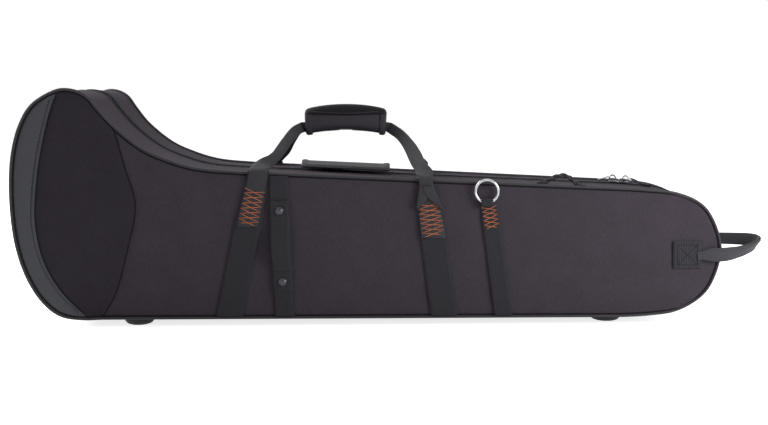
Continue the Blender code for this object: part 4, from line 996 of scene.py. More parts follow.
@dataclass
class Shell:
    """One half of the case, and everything sewn round its walls."""

    prefix: str
    sign: int
    bell_depth: float
    seam_depth: float
    tail_depth: float
    tuck: float = 0.0011
    tuck_run: float = 0.0042
    cover: float = 0.0012

    @property
    def body(self) -> str:
        """The name of the body that its pieces ride on."""
        return f"{self.prefix}_shell"

    def depth(self, point: Vector, crowned: bool = True) -> float:
        """How far the skin is from the zip line at an (x, z) point."""
        seam_x = OUTLINE.seam_x(point.y)
        if point.x < seam_x:
            share = min((seam_x - point.x) / FLARE_RUN, 1.0)
            return self.seam_depth + (self.bell_depth - self.seam_depth) * math.sin(share * math.pi / 2)
        share = min((point.x - seam_x) / (RIGHT_X - seam_x), 1.0)
        depth = self.seam_depth + (self.tail_depth - self.seam_depth) * share
        if not crowned:
            return depth
        low, high = OUTLINE.span(point.x)
        across = min(abs(point.y - (low + high) / 2) / max((high - low) / 2, GAP), 1.0)
        fade = min((point.x - seam_x) / CROWN_FADE, max(RIGHT_X - point.x, 0) / CROWN_FADE, 1.0)
        return depth + FACE_CROWN * (1 - across ** 4) * fade

    def y(self, distance: float) -> float:
        """The y of a distance from the zip line on this side."""
        return ZIP_Y + self.sign * distance

    def on_face(self, x: float, z: float, stand: float = 0.0) -> Vector:
        """A point on the face's skin, or standing off it."""
        return Vector((x, self.y(self.depth(Vector((x, z))) + stand), z))

    def edge_depth(self, x: float) -> float:
        """The skin's depth at the upper edge of the face."""
        return self.depth(Vector((x, OUTLINE.top(x))), crowned=False)

    def out(self) -> Vector:
        """The way out of the face."""
        return Y_AXIS * self.sign

    def ruffle(self, x: float, z: float) -> float:
        """The slight unevenness of cloth over its padding."""
        broad = noise.noise(Vector((x * 9, z * 11, self.sign * 4.0)))
        fine = noise.noise(Vector((x * 34, z * 38, self.sign * 9.0)))
        return broad * 0.001 + fine * 0.0003

    def patches(self, inset: float) -> tuple[Patch, Patch, Run, Run]:
        """The body and bell patches, and the two sides of the guard."""
        body_top, bell_top, left = (OUTLINE.stretch(name, inset) for name in ("body_top", "bell_top", "left"))
        tail, body_base, bell_base = (OUTLINE.stretch(name, inset).backwards()
                                      for name in ("tail", "body_base", "bell_base"))
        shift = Vector((GAP / 2, 0))

        def seam(dense: list[Vector], base: Run, top: Run, nudge: Vector) -> Run:
            """A seam between the starts of two runs, moved sideways."""
            return Run([point + nudge for point in [base.at(0), *dense[6:-6], top.at(0)]])

        body_left, bell_right = (seam(OUTLINE.body_seam, body_base, body_top, nudge)
                                 for nudge in (shift, -shift))
        bell_left = seam(OUTLINE.guard_seam, bell_base, bell_top, shift)
        body = Patch(body_left, tail, body_base, body_top)
        return body, Patch(bell_left, bell_right, bell_base, bell_top), left, bell_left

    def panel(self, name: str, patch: Callable[[float, float], Vector], size: Share,
              steps: tuple[int, int], finish: Finish) -> Piece:
        """One sewn face panel, tucked in along its seams.

        Args:
            name: the panel's name.
            patch: the (x, z) point of each pair of shares.
            size: its rough width and height.
            steps: how many faces it has each way.
            finish: its cloth.

        Returns:
            The panel.
        """
        def spot(u: float, v: float) -> Vector:
            """The panel's point, tucked in near its edges."""
            u, v = crowded(u), crowded(v)
            point = patch(u, v)
            near = min(u * size[0], (1 - u) * size[0], v * size[1], (1 - v) * size[1])
            stand = self.ruffle(point.x, point.y) * (1 - falling(near, 0.02))
            return self.over(point, stand - self.tuck * falling(near, self.tuck_run))

        def lay(u: float, v: float) -> tuple[float, float]:
            """Metres across and up the case."""
            return tuple(patch(crowded(u), crowded(v)))

        return thicken(mapped(name, steps, spot, lay, finish, hub=HUB), self.cover)

    def over(self, point: Vector, stand: float) -> Vector:
        """The face's skin at an (x, z) point, or standing off it."""
        return self.on_face(point.x, point.y, stand)

    def aside(self, point: Vector, distance: float) -> Vector:
        """An (x, z) point at a distance from the zip line."""
        return Vector((point.x, self.y(distance), point.y))

    def dress(self, item: Piece, node: str) -> None:
        """Ride a piece on this shell in place of one of its nodes."""
        fasten(item, self.body, f"{self.prefix}_{node}")

    def make_face(self) -> None:
        """The body, bell and guard panels with their seam stitching, and dark cords sunk in the seams as
        painted shadow.
        """
        body, bell, left, inner = self.patches(0.0009)

        def guard(u: float, v: float) -> Vector:
            """A point of the crescent between the outline and its seam."""
            v = 0.004 + 0.992 * v
            return left.at(v).lerp(inner.at(v) - Vector((GAP, 0)), u)

        for label, patch, size, steps, finish, node in (
                ("body", body.at, (0.75, 0.17), (120, 56), BODY_CLOTH, "body_cover"),
                ("bell", bell.at, (0.085, 0.27), (44, 90), BELL_CLOTH, "bell_cover"),
                ("guard", guard, (0.035, 0.3), (28, 96), GUARD_CLOTH, "bell_guard")):
            self.dress(self.panel(f"{self.prefix}_{label}_panel", patch, size, steps, finish), node)
        # Dark cords sunk along the guard and body seams: painted shadow in the seam lines
        for label, run in (("guard", inner), ("body", body.left)):
            points = [self.over(run.at(share), -0.001) for share in shares(99)]
            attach(tube(f"{self.prefix}_{label}_seam_shadow_cord", points, 0.0007, THREAD_AND_SEAM_SHADOW, self.out(),
                         sides=8), self.body)
        # The hem is a raised strip in the lighter hem cloth: real geometry, with a painted highlight in its
        # tone
        hem, sewn = [], []
        for share in shares(99):
            at = self.over(inner.at(0.03 + 0.94 * share) - Vector((0.0024, 0)), 0.0)
            hem.append(Frame(at, X_AXIS.copy(), self.out(), 0.0034, 0.001))
        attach(sweep(f"{self.prefix}_guard_hem", hem, flat_profile(4, 0.12), HEM_HIGHLIGHT_CLOTH), self.body)
        for share in shares(120):
            point = inner.at(0.03 + 0.94 * share) - Vector((0.0052, 0))
            sewn.append(self.over(point, self.ruffle(point.x, point.y) * 0.1 - 0.0002))
        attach(stitches(f"{self.prefix}_guard_seam_stitches", sewn, self.out(), THREAD_AND_SEAM_SHADOW), self.body)

    def rim(self, share: float, outset: float = 0.0) -> tuple[Vector, Vector]:
        """A point round the outline by length, and the way out there."""
        along = (RIM.at((share + 0.002) % 1.0) - RIM.at((share - 0.002) % 1.0)).normalized()
        away = Vector((-along.y, along.x))
        return RIM.at(share % 1.0) + away * outset, away

    def make_gusset(self) -> None:
        """The fabric band round the wall, puckered between piping and zip."""
        length = RIM.length()

        def spot(u: float, v: float) -> Vector:
            """The band's point, drawn in at both seams but clear of the wooden wall."""
            base = self.rim(u)[0]
            deep = self.depth(base, crowned=False) - 0.0016
            near = TAPE_WIDTH - 0.0006
            share = crowded(v, 0.7)
            distance = deep + (near - deep) * share
            edge = min(share, 1 - share) * (deep - near)
            cycle = Vector((math.cos(2 * math.pi * u), math.sin(2 * math.pi * u)))
            drift = Vector((cycle.x * 12, cycle.y * 12, distance * 26 + self.sign * 5))
            crease = Vector((cycle.x * 46, cycle.y * 46, distance * 34))
            stand = noise.noise(drift) * 0.0009 + noise.noise(crease) * 0.0005
            stand *= 1 - falling(edge, 0.008)
            stand -= 0.0012 * falling(edge, 0.0022)
            lowest = -0.0006 + 0.0009 * falling(base.x - share_x(NECK_SHARE), NECK_REACH)
            point = self.rim(u, max(stand, lowest) - TAPE_INSET)[0]
            return Vector((point.x, self.y(distance), max(point.y, FOOT_HEIGHT + 0.0001)))

        item = mapped(f"{self.prefix}_gusset_band", (420, 22), spot, lambda u, v: (u * length, v * 0.1),
                      LIT_GUSSET_CLOTH, wrap=True, hub=HUB)
        self.dress(thicken(item, self.cover), "gusset_cover")
        rows = (("piping", -0.0062, True), ("tape", TAPE_WIDTH + 0.0028, False))
        for label, offset, deep in rows:
            points, ways = [], []
            for share in shares(600):
                base, away = self.rim(share, 0.0001)
                points.append(self.aside(base, (self.depth(base, crowned=False) if deep else 0.0) + offset))
                ways.append(Vector((away.x, 0, away.y)))
            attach(stitches(f"{self.prefix}_{label}_stitches", points, ways, DARK_THREAD, 0.0048,
                             THREAD_WIDTH), self.body)

    def make_piping(self) -> None:
        """The vinyl piping sewn into the edge of the face, and a dark cord in the groove beside it as painted
        shadow.
        """
        cord, seam = [], []
        for step in range(420):
            base, away = self.rim(step / 420)
            deep = self.depth(base, crowned=False)
            cord.append(self.aside(base + away * PIPING_OUTSET, deep - PIPING_SETBACK))
            seam.append(self.aside(base - away * 0.0024, deep - 0.0006))
        self.dress(tube(f"{self.prefix}_piping_cord", cord, 0.0018, PIPING_VINYL, Y_AXIS, closed=True,
                        sides=10), "piping")
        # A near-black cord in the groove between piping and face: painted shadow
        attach(tube(f"{self.prefix}_piping_groove_shadow", seam, 0.0009, THREAD_AND_SEAM_SHADOW, Y_AXIS, closed=True, sides=8),
                self.body)

    def make_zip(self) -> None:
        """The zip's tape with its row of coil turns."""
        span = slice(OUTLINE.slice_at("left", 1 / 7), OUTLINE.slice_at("tail", 6 / 7) + 1)
        run, outer = Run(OUTLINE.moved(TAPE_INSET)[span]), Run(OUTLINE.moved(-0.0007)[span])
        length = run.length()

        def spot(u: float, v: float) -> Vector:
            """The tape's point, a little raised at its coil edge."""
            rise = 0.0005 * falling(v * TAPE_WIDTH, 0.003)
            return self.aside(run.at(u).lerp(outer.at(u), rise / 0.0009), GAP + (TAPE_WIDTH - GAP) * v)

        item = mapped(f"{self.prefix}_zip_cloth", (400, 8), spot,
                      lambda u, v: (v * TAPE_WIDTH, u * length), ZIP_CLOTH, hub=HUB)
        self.dress(thicken(item, 0.001), "zip_tape")
        work = bmesh.new()
        for number in range(int(length / COIL_PITCH)):
            share = (number + 0.5 + 0.25 * self.sign) * COIL_PITCH / length
            at, on = outer.at(share), outer.at(share + 0.001)
            along = Vector((on.x - at.x, 0, on.y - at.y)).normalized()
            add_bar(work, self.aside(at, 0.0016), (along, Y_AXIS, along.cross(Y_AXIS)),
                    (COIL_PITCH * 0.62, 0.0028, 0.0013))
        soften(work, 0.00035)
        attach(to_piece(f"{self.prefix}_zip_coil", work, COIL_NYLON, 80.0), self.body)

    def make_lining(self) -> None:
        """Plush on the inside of the board and of the wall."""
        body, bell, left, inner = self.patches(INNER_INSET + 0.0004)

        def guard(u: float, v: float) -> Vector:
            """A point of the crescent, without its thin ends."""
            v = 0.012 + 0.976 * v
            return left.at(v).lerp(inner.at(v), u)

        for label, patch, steps in (("body", body.at, (50, 14)), ("bell", bell.at, (12, 22)),
                                    ("guard", guard, (6, 24))):
            def spot(u: float, v: float, patch: Spot = patch) -> Vector:
                """The lining's point behind the board."""
                point = patch(u, v)
                drift = noise.noise(Vector((point.x * 30, point.y * 30, 2)))
                return self.over(point, -(BOARD_BACK + 0.0011 + 0.0003 * drift))

            item = mapped(f"{self.prefix}_{label}_lining", steps, spot, lambda u, v: (u * 0.7, v * 0.2),
                          PLUSH, hub=HUB + self.out() * 0.6)
            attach(thicken(item, 0.0002), self.body)
        inside = OUTLINE.moved(INNER_INSET + 0.0012)
        wall = Run([*inside, inside[0]])

        def band(u: float, v: float) -> Vector:
            """The wall lining's point, from the board to the rim."""
            point = wall.at(u)
            deep = self.depth(point, crowned=False) - BOARD_BACK - 0.0012
            return self.aside(point, GAP + 0.0004 + (deep - GAP) * v)

        item = mapped(f"{self.prefix}_wall_lining", (300, 8), band, lambda u, v: (u * 2.2, v * 0.1), PLUSH,
                      wrap=True, hub=HUB)
        for face in item.data.polygons:
            face.flip()
        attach(item, self.body)
        log.info("%s lining", self.prefix)

    def build(self) -> None:
        """Every sewn piece of this shell, and its plywood."""
        self.make_face()
        self.make_gusset()
        self.make_piping()
        self.make_zip()
        self.make_lining()
        for node in ("frame", "board"):
            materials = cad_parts[f"{self.prefix}_{node}"].data.materials
            materials.clear()
            materials.append(PLY.material())


FRONT = Shell("front", -1, 0.135, 0.112, 0.092)
LID = Shell("lid", 1, 0.122, 0.084, 0.046)


# Straps on the faces

@dataclass
class FaceStrap:
    """A webbing strap lying up one face, slanted between its top and its base."""

    name: str
    shell: Shell
    shares: Share
    width: float = 0.038
    finish: Finish = WEBBING

    @property
    def low(self) -> float:
        """The lowest z that it reaches."""
        return FOOT_HEIGHT + BAND_EDGE

    @property
    def high(self) -> float:
        """The highest z that it reaches on the face."""
        return OUTLINE.top(share_x(self.shares[0])) - BAND_EDGE

    def middle(self, z: float) -> float:
        """The x of its middle at one height."""
        top, base = share_x(self.shares[0]), share_x(self.shares[1])
        return base + (top - base) * (z - self.low) / (self.high - self.low)

    def point(self, z: float, across: float, stand: float, width: float | None = None) -> Vector:
        """A point on it, at a share of its half width to one side."""
        half = (width or self.width) / 2
        return self.shell.on_face(self.middle(z) + across * half, z, stand)

    def frame_at(self, z: float, width: float, stand: float = STRAP_STANDOFF,
                 thick: float = WEBBING_THICKNESS) -> Frame:
        """The cross-section at one height."""
        left, right = (self.point(z, side, stand + thick / 2, width) for side in (-1, 1))
        wide = (right - left).normalized()
        return Frame((left + right) / 2, wide, squared(self.shell.out(), wide), width, thick)

    def frames(self, start: float, end: float, steps: int, width: Callable[[float], float] | None = None,
               stand: float = STRAP_STANDOFF) -> list[Frame]:
        """Cross-sections between two heights."""
        heights = [start + (end - start) * share for share in shares(steps)]
        return [self.frame_at(z, width(z) if width else self.width, stand) for z in heights]

    def lay(self, node: str, rows: Sequence[Frame], body: str) -> None:
        """Webbing along cross-sections, riding a body in place of its node."""
        fasten(sweep(f"{node}_webbing", rows, flat_profile(), self.finish), body, node)

    def sew(self, name: str, points: Points, body: str, pitch: float = 0.004) -> None:
        """Stitches on the strap, riding a body."""
        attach(stitches(name, points, self.shell.out(), EDGE_THREAD, pitch, THREAD_WIDTH), body)

    def edge_rows(self, label: str, start: float, end: float, stand: float, body: str) -> None:
        """Stitches along both edges between two heights."""
        for side, sign in SIDES:
            across = sign * (1 - 0.0056 / self.width)
            points = [self.point(start + (end - start) * share, across, stand) for share in shares(60)]
            self.sew(f"{label}_{side}", points, body)

    def cross_row(self, label: str, z: float, stand: float, body: str) -> None:
        """Stitches straight across at one height."""
        points = [self.point(z, -0.86 + 1.72 * share, stand) for share in shares(12)]
        self.sew(label, points, body, 0.0036)

    def zigzag(self, label: str, low: float, high: float, stand: float, tips: int, width: float) -> None:
        """The tack of rust thread: two zigzags that cross between their points.

        Args:
            label: the thread's name.
            low: the lowest z of the tack.
            high: the highest z of the tack.
            stand: how far it stands off the face.
            tips: how many points it has on each side.
            width: how wide it is.
        """
        lean = (self.middle(high) - self.middle(low)) / (high - low) * width / 2
        for letter, first in (("a", -1), ("b", 1)):
            sides = [first * (-1) ** tip for tip in range(tips)]
            knots = [(high + (low - high) * share - side * lean, side) for share, side in
                     zip(shares(tips - 1), sides)]
            path = []
            for place, (z, across) in enumerate(traced(knots, 6)):
                over = 0.0004 * math.sin(math.pi * (place % 6) / 6) * (letter == "b")
                path.append(self.point(z, across, stand + over, width))
            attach(tube(f"{label}_{letter}", path, 0.0004, RUST_THREAD, self.shell.out(), sides=6),
                    self.shell.body)


@dataclass
class HandleBand(FaceStrap):
    """A band up one face that folds over the piping under the handle's foot."""

    foot_width: float = 0.026
    neck: float = 0.026
    neck_run: float = 0.065
    tack: tuple[float, float, float] = (0.128, 0.1715, 0.0255)
    folded: bool = False

    def width_at(self, z: float) -> float:
        """Its width at one height, narrowing towards the foot."""
        share = (z - (self.high - self.neck_run)) / self.neck_run
        return self.width + (self.neck - self.width) * eased(share)

    def over_edge(self, stand: float, thick: float, width: float, steps: int = 8,
                  turn: float = 90.0) -> list[Frame]:
        """Cross-sections over the piping, from the face to the top."""
        x = share_x(self.shares[0])
        top = OUTLINE.top(x) + PIPING_OUTSET
        out = self.shell.edge_depth(x) - PIPING_SETBACK
        slope_y = (self.shell.edge_depth(x + 0.01) - self.shell.edge_depth(x - 0.01)) / 0.02
        slope_z = (OUTLINE.top(x + 0.01) - OUTLINE.top(x - 0.01)) / 0.02
        wide = Vector((1, self.shell.sign * slope_y, slope_z)).normalized()
        reach = PIPING_RADIUS + stand + thick / 2
        rows = []
        for share in shares(steps):
            across, up = math.cos(math.radians(turn) * share), math.sin(math.radians(turn) * share)
            at = Vector((x, self.shell.y(out + reach * across), top + reach * up))
            proud = squared(Vector((0, self.shell.sign * across, up)), wide)
            rows.append(Frame(at, wide, proud, width, thick))
        return rows

    def build(self) -> None:
        """The band, its edge stitches, its fold and its tack."""
        body = self.shell.body
        rows = self.frames(self.low, self.high - 0.006, 46, self.width_at)
        rows += self.over_edge(STRAP_STANDOFF, WEBBING_THICKNESS, self.neck)
        self.lay(self.name, rows, body)
        high = self.high - self.neck_run - 0.002
        self.edge_rows(f"{self.name}_stitches", self.low + 0.002, high, STRAP_TOP, body)
        if self.folded:
            self.make_fold(STRAP_TOP + 0.0026)
        low, high, width = self.tack
        self.zigzag(f"{self.name}_tack", low, high, STRAP_TOP + 0.0026, 8, width)

    def make_fold(self, stand: float) -> None:
        """The webbing's two edges, folded over each other where it narrows."""
        for (side, sign), lift in zip(SIDES, (stand, stand + 0.001)):
            rows = []
            for share in shares(24):
                z = self.high - self.neck_run + 0.004 + (self.neck_run - 0.009) * share
                width = 0.003 + 0.012 * math.sin(math.pi * min(share * 1.25, 1.0) / 2)
                across = sign * (self.width_at(z) / 2 - width / 2 + 0.0002)
                row = self.frame_at(z, width, lift)
                row.at = self.shell.on_face(self.middle(z) + across, z, lift + 0.001)
                rows.append(row)
            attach(sweep(f"{self.name}_fold_{side}", rows, flat_profile(6, 0.06), FOLDED_WEBBING),
                    self.shell.body)


# The carrying handle

LEFT_BENDS = ((0.36, 0.28, 0.23), (0.6, 0.62, 0.6), (0.82, 0.87, 0.9))
RIGHT_BENDS = ((0.17, 0.23, 0.2), (0.36, 0.53, 0.5), (0.66, 0.84, 0.81))


@dataclass
class Handle:
    """One half of the carrying handle: a folded strap and half of the padded grip."""

    shell: Shell
    body: str
    strap_node: str
    grip_node: str
    bands: tuple[HandleBand, HandleBand]
    length: float = 0.1075
    half_depth: float = 0.013
    half_height: float = 0.0178
    rise: float = 0.0705
    arch: float = 0.0055
    setback: float = 0.006
    drop: float = 0.0055
    folded_width: float = 0.0135
    folded_thick: float = 0.005

    @property
    def sign(self) -> int:
        """Which side of the split this half lies on."""
        return self.shell.sign

    @property
    def split(self) -> float:
        """The y of the plane between the two halves of the grip."""
        return ZIP_Y - self.setback

    def grip_frame(self, share: float) -> tuple[Vector, Vector]:
        """The middle and the way up at a share from -1 to 1 of the grip."""
        x = share_x(0.4597)
        height = OUTLINE.top(x) + self.rise
        at = Vector((x + share * self.length / 2, self.split, height - self.arch * share ** 2))
        slope = -4 * self.arch * share / self.length
        return at, Vector((-slope * 0.3, 0, 1)).normalized()

    def foot(self, band: HandleBand) -> Vector:
        """The point that a leg bends about."""
        x = share_x(band.shares[0])
        rise = PIPING_OUTSET + PIPING_RADIUS + STRAP_STANDOFF + WEBBING_THICKNESS * 2 + GAP
        return Vector((x, self.shell.y(self.shell.edge_depth(x) - PIPING_SETBACK), OUTLINE.top(x) + rise))

    def leg(self, band: HandleBand, entry: Vector, bends: Sequence[Sequence[float]]) -> list[Vector]:
        """A leg's middle line from its foot to the grip."""
        foot = self.foot(band)
        way = entry - foot
        middle = [foot + Vector((way.x * a, way.y * b, way.z * c)) for a, b, c in bends]
        return smooth_open([foot, *middle, entry], 8)

    def make_strap(self) -> None:
        """The strap from one foot through the grip to the other."""
        side = Y_AXIS * (self.sign * (0.0005 + self.folded_thick / 2))
        inside = []
        for share in shares(12):
            at, up = self.grip_frame(2 * share - 1)
            proud = Vector((up.z, 0, -up.x)).cross(up).normalized()
            inside.append(Frame(at + side - up * self.drop, up, proud, self.folded_width, self.folded_thick))
        left, right = self.bands
        left_leg = self.leg(left, inside[0].at - X_AXIS * 0.004, LEFT_BENDS)
        right_leg = self.leg(right, inside[-1].at + X_AXIS * 0.004, RIGHT_BENDS)
        rows = self.foot_rows(left) + self.leg_rows(left_leg, 1) + inside
        rows += self.leg_rows(right_leg, -1)[::-1] + self.foot_rows(right)[::-1]
        self.align(rows)
        item = sweep(f"{self.strap_node}_webbing", rows, DOUBLED, FOLDED_WEBBING)
        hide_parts(self.strap_node)
        self.shell.body
        self.body
        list(self.blend_line())
        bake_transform(item)
        log.info("%s", self.strap_node)

    def foot_rows(self, band: HandleBand) -> list[Frame]:
        """The strap's first run, lying over the band and the piping."""
        stand, thick = STRAP_TOP + 0.0001, 0.0022
        low, high = band.tack[0] - 0.002, band.high - 0.006
        narrow, wide = band.foot_width * 0.86, band.tack[2] + 0.001
        rows = []
        for share in shares(16):
            width = narrow + (wide - narrow) * (1 - min(share / 0.75, 1.0) ** 3)
            rows.append(band.frame_at(low + (high - low) * share, width, stand, thick))
        return rows + band.over_edge(stand, thick, narrow, 5, 62.0)

    def leg_rows(self, points: Points, way: int) -> list[Frame]:
        """Cross-sections of one leg, which folds double as it rises."""
        rows = []
        for index, heading in enumerate(headings(points)):
            along = heading * way
            share = index / (len(points) - 1)
            fold = eased(share * 4.5)
            upright = Vector((-along.z, 0, along.x)).normalized()
            wide = squared((X_AXIS * -way).lerp(upright, fold), along)
            width = 0.0224 + (self.folded_width - 0.0224) * fold
            if way < 0:
                width *= 1 + 0.36 * falling(share - 0.36, 0.22)
            thick = 0.0024 + (self.folded_thick - 0.0024) * fold
            rows.append(Frame(points[index], wide, along.cross(wide).normalized(), width, thick))
        return rows[1:]

    def align(self, rows: list[Frame]) -> None:
        """Turn each section the way that twists least from the one before."""
        for before, row in zip(rows, rows[1:]):
            if row.wide.dot(before.wide) < 0:
                row.wide = -row.wide
            along = (row.at - before.at).normalized()
            proud = row.wide.cross(along)
            if proud.length > 0.2:
                row.proud = proud.normalized()
            if row.proud.dot(before.proud) < 0:
                row.proud = -row.proud

    def blend_line(self) -> tuple[Vector, Vector]:
        """Two points, a little below and above the middle between the strap's feet."""
        left, right = (self.foot(band) for band in self.bands)
        up = squared(Z_AXIS, (right - left).normalized())
        middle = (left + right) / 2
        return middle - up * 0.003, middle + up * 0.013

    def outside(self, share: float, angle: float, stand: float) -> Vector:
        """A point on the outside of this half of the grip.

        Args:
            share: where along the grip, from -1 to 1.
            angle: how far up from level, in degrees.
            stand: how far it stands off the pad.

        Returns:
            The point.
        """
        at, up = self.grip_frame(share)
        swell = 1.0 - 0.07 * abs(share) ** 3
        across, rise = math.cos(math.radians(angle)), math.sin(math.radians(angle))
        side = self.sign * (abs(across) ** 0.75 * self.half_depth * swell + stand)
        high = math.copysign(abs(rise) ** 0.75, rise) * self.half_height * swell
        edge = self.sign * GAP * 2
        side = min(side, edge) if self.sign < 0 else max(side, edge)
        return at + Y_AXIS * side + up * (high * (1 + stand / self.half_height))

    def make_grip(self) -> None:
        """The padded half, filled by the cloth solver."""
        arc, flat = 20, 6

        def spot(u: float, v: float) -> Vector:
            """A point of the closed half: its rounded back, then its flat side."""
            share = -0.985 + 1.97 * v
            index = round(u * (arc + flat))
            if index <= arc:
                return self.outside(share, 88 - 176 * index / arc, -0.0006)
            low, high = (self.outside(share, angle, -0.0006) for angle in (-88, 88))
            return low.lerp(high, (index - arc) / flat)

        item = mapped(f"{self.grip_node}_pad", (arc + flat, 40), spot, lambda u, v: (u * 0.07, v * 0.11),
                      GRIP_HIDE, wrap=True, solid=True)
        edge = self.split + self.sign * GAP

        def keep(point: Vector) -> Vector:
            """Hold a point on this half's side of the split."""
            point.y = max(point.y, edge) if self.sign > 0 else min(point.y, edge)
            return point

        Puffing(voxel=0.003, reach=0.0022).fill(item, keep)
        fasten(item, self.body, self.grip_node)

    def wrap(self, name: str, start: float, end: float, high: float, low: float, stand: float,
             finish: Finish, curve: float = 0.0) -> None:
        """A piece of hide lying round the outside of the pad.

        Args:
            name: the piece's name.
            start: its first share along the grip, from -1 to 1.
            end: its last share.
            high: its upper angle in degrees.
            low: its lower angle.
            stand: how far it stands off the pad.
            finish: its hide.
            curve: how many degrees its lower edge sags in the middle.
        """
        def spot(u: float, v: float) -> Vector:
            """The hide's point round and along the pad."""
            share = start + (end - start) * v
            across = 2 * v - 1
            angle = high + (low + curve * (1 - across ** 2) - high) * u
            roll = 0.0006 * falling(min(u, 1 - u, v, 1 - v), 0.05)
            roll += 0.003 * (max(abs(share) - 0.93, 0.0) / 0.07) ** 2
            return self.outside(share, angle, stand - roll)

        hub = self.grip_frame((start + end) / 2)[0]
        item = mapped(name, (18, 40), spot, lambda u, v: (u * 0.04, v * 0.1), finish, hub=hub)
        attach(thicken(item, 0.0012), self.body)

    def sew(self, name: str, line: Sequence[Share], stand: float, thread: Finish, pitch: float) -> None:
        """Stitches on the pad.

        Args:
            name: the row's name.
            line: the share along the grip and the angle of each of its points.
            stand: how far it stands off the pad.
            thread: its thread.
            pitch: the length of a stitch and the hole after it.
        """
        points = [self.outside(share, angle, stand) for share, angle in line]
        ways = [(point - self.grip_frame(share)[0]).normalized() for point, (share, _) in zip(points, line)]
        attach(stitches(name, points, ways, thread, pitch, THREAD_WIDTH), self.body)

    def make_trim(self) -> None:
        """The flap over the top, the bound ends and their stitches."""
        name = "grip_front" if self.sign < 0 else "grip_rear"
        self.wrap(f"{name}_flap", -0.98, 0.98, 89, 34, 0.0022, FLAP_HIDE, curve=-24)
        self.wrap(f"{name}_left_cuff", -1.0, -0.84, 89, -80, 0.001, GRIP_HIDE)
        self.wrap(f"{name}_right_cuff", 0.84, 1.0, 89, -80, 0.001, GRIP_HIDE)
        for side, sign in SIDES:
            line = [(sign * 0.865, 30 - 108 * share) for share in shares(40)]
            self.sew(f"{name}_{side}_stitches", line, 0.0011, EDGE_THREAD, 0.0036)
        line = []
        for share in shares(60):
            across = -1 + 2 * share
            line.append((0.86 * across, 34 - 24 * (1 - across ** 2) + 6))
        self.sew(f"{name}_flap_stitches", line, 0.0023, DARK_THREAD, 0.0038)

    def build(self) -> None:
        """Both the strap and the grip of this half."""
        self.make_strap()
        self.make_grip()
        self.make_trim()


# Ring, snap strap and tail loop

@dataclass
class RingStrap(FaceStrap):
    """The strap with the metal ring for a shoulder strap."""

    radius: float = 0.0141
    wire: float = 0.0017
    keeper: float = 0.0048

    def build(self) -> None:
        """The strap, the fold that keeps the ring, and the ring."""
        z = FOOT_HEIGHT + 0.555 * BELL_HEIGHT
        base = z - self.radius
        x = self.middle(z)
        centre = Vector((x, self.shell.on_face(x, base, self.keeper + STRAP_STANDOFF).y, z))
        axis = centre - Z_AXIS * self.radius
        end = axis.z - self.keeper - GAP

        def width(at: float) -> float:
            """Full width, drawn in below the ring."""
            share = min(max((at - end + 0.022) / 0.022, 0.0), 1.0)
            return self.width - (self.width - 0.0185) * share * share

        body = self.shell.body
        self.lay("ring_strap", self.frames(self.low, end, 40, width), body)
        self.edge_rows("ring_strap_stitches", self.low + 0.002, end - 0.024, STRAP_TOP, body)
        self.zigzag("ring_strap_tack", end - 0.0275, end, STRAP_TOP + 0.0003, 6, 0.0185)
        rows = cord_frames(circle(axis, Z_AXIS, Y_AXIS, self.keeper - 0.0008, 28), 0.001, X_AXIS, closed=True)
        rows = [Frame(row.at, X_AXIS.copy(), row.wide, 0.015, 0.0016) for row in rows]
        fasten(sweep("ring_keeper_webbing", rows, flat_profile(6, 0.06), self.finish, closed=True), body,
               "ring_keeper")
        points = circle(centre, Z_AXIS, X_AXIS, self.radius, 72)
        fasten(tube("ring_wire", points, self.wire, PLATED, Y_AXIS, closed=True, sides=16), "carry_ring",
               "ring")


DOME = ((0.0, -0.0002), (0.0052, -0.0002), (0.0054, 0.0006), (0.005, 0.0014), (0.0042, 0.0019),
        (0.0036, 0.0018), (0.0032, 0.0023), (0.0018, 0.0029), (0.0, 0.0031))


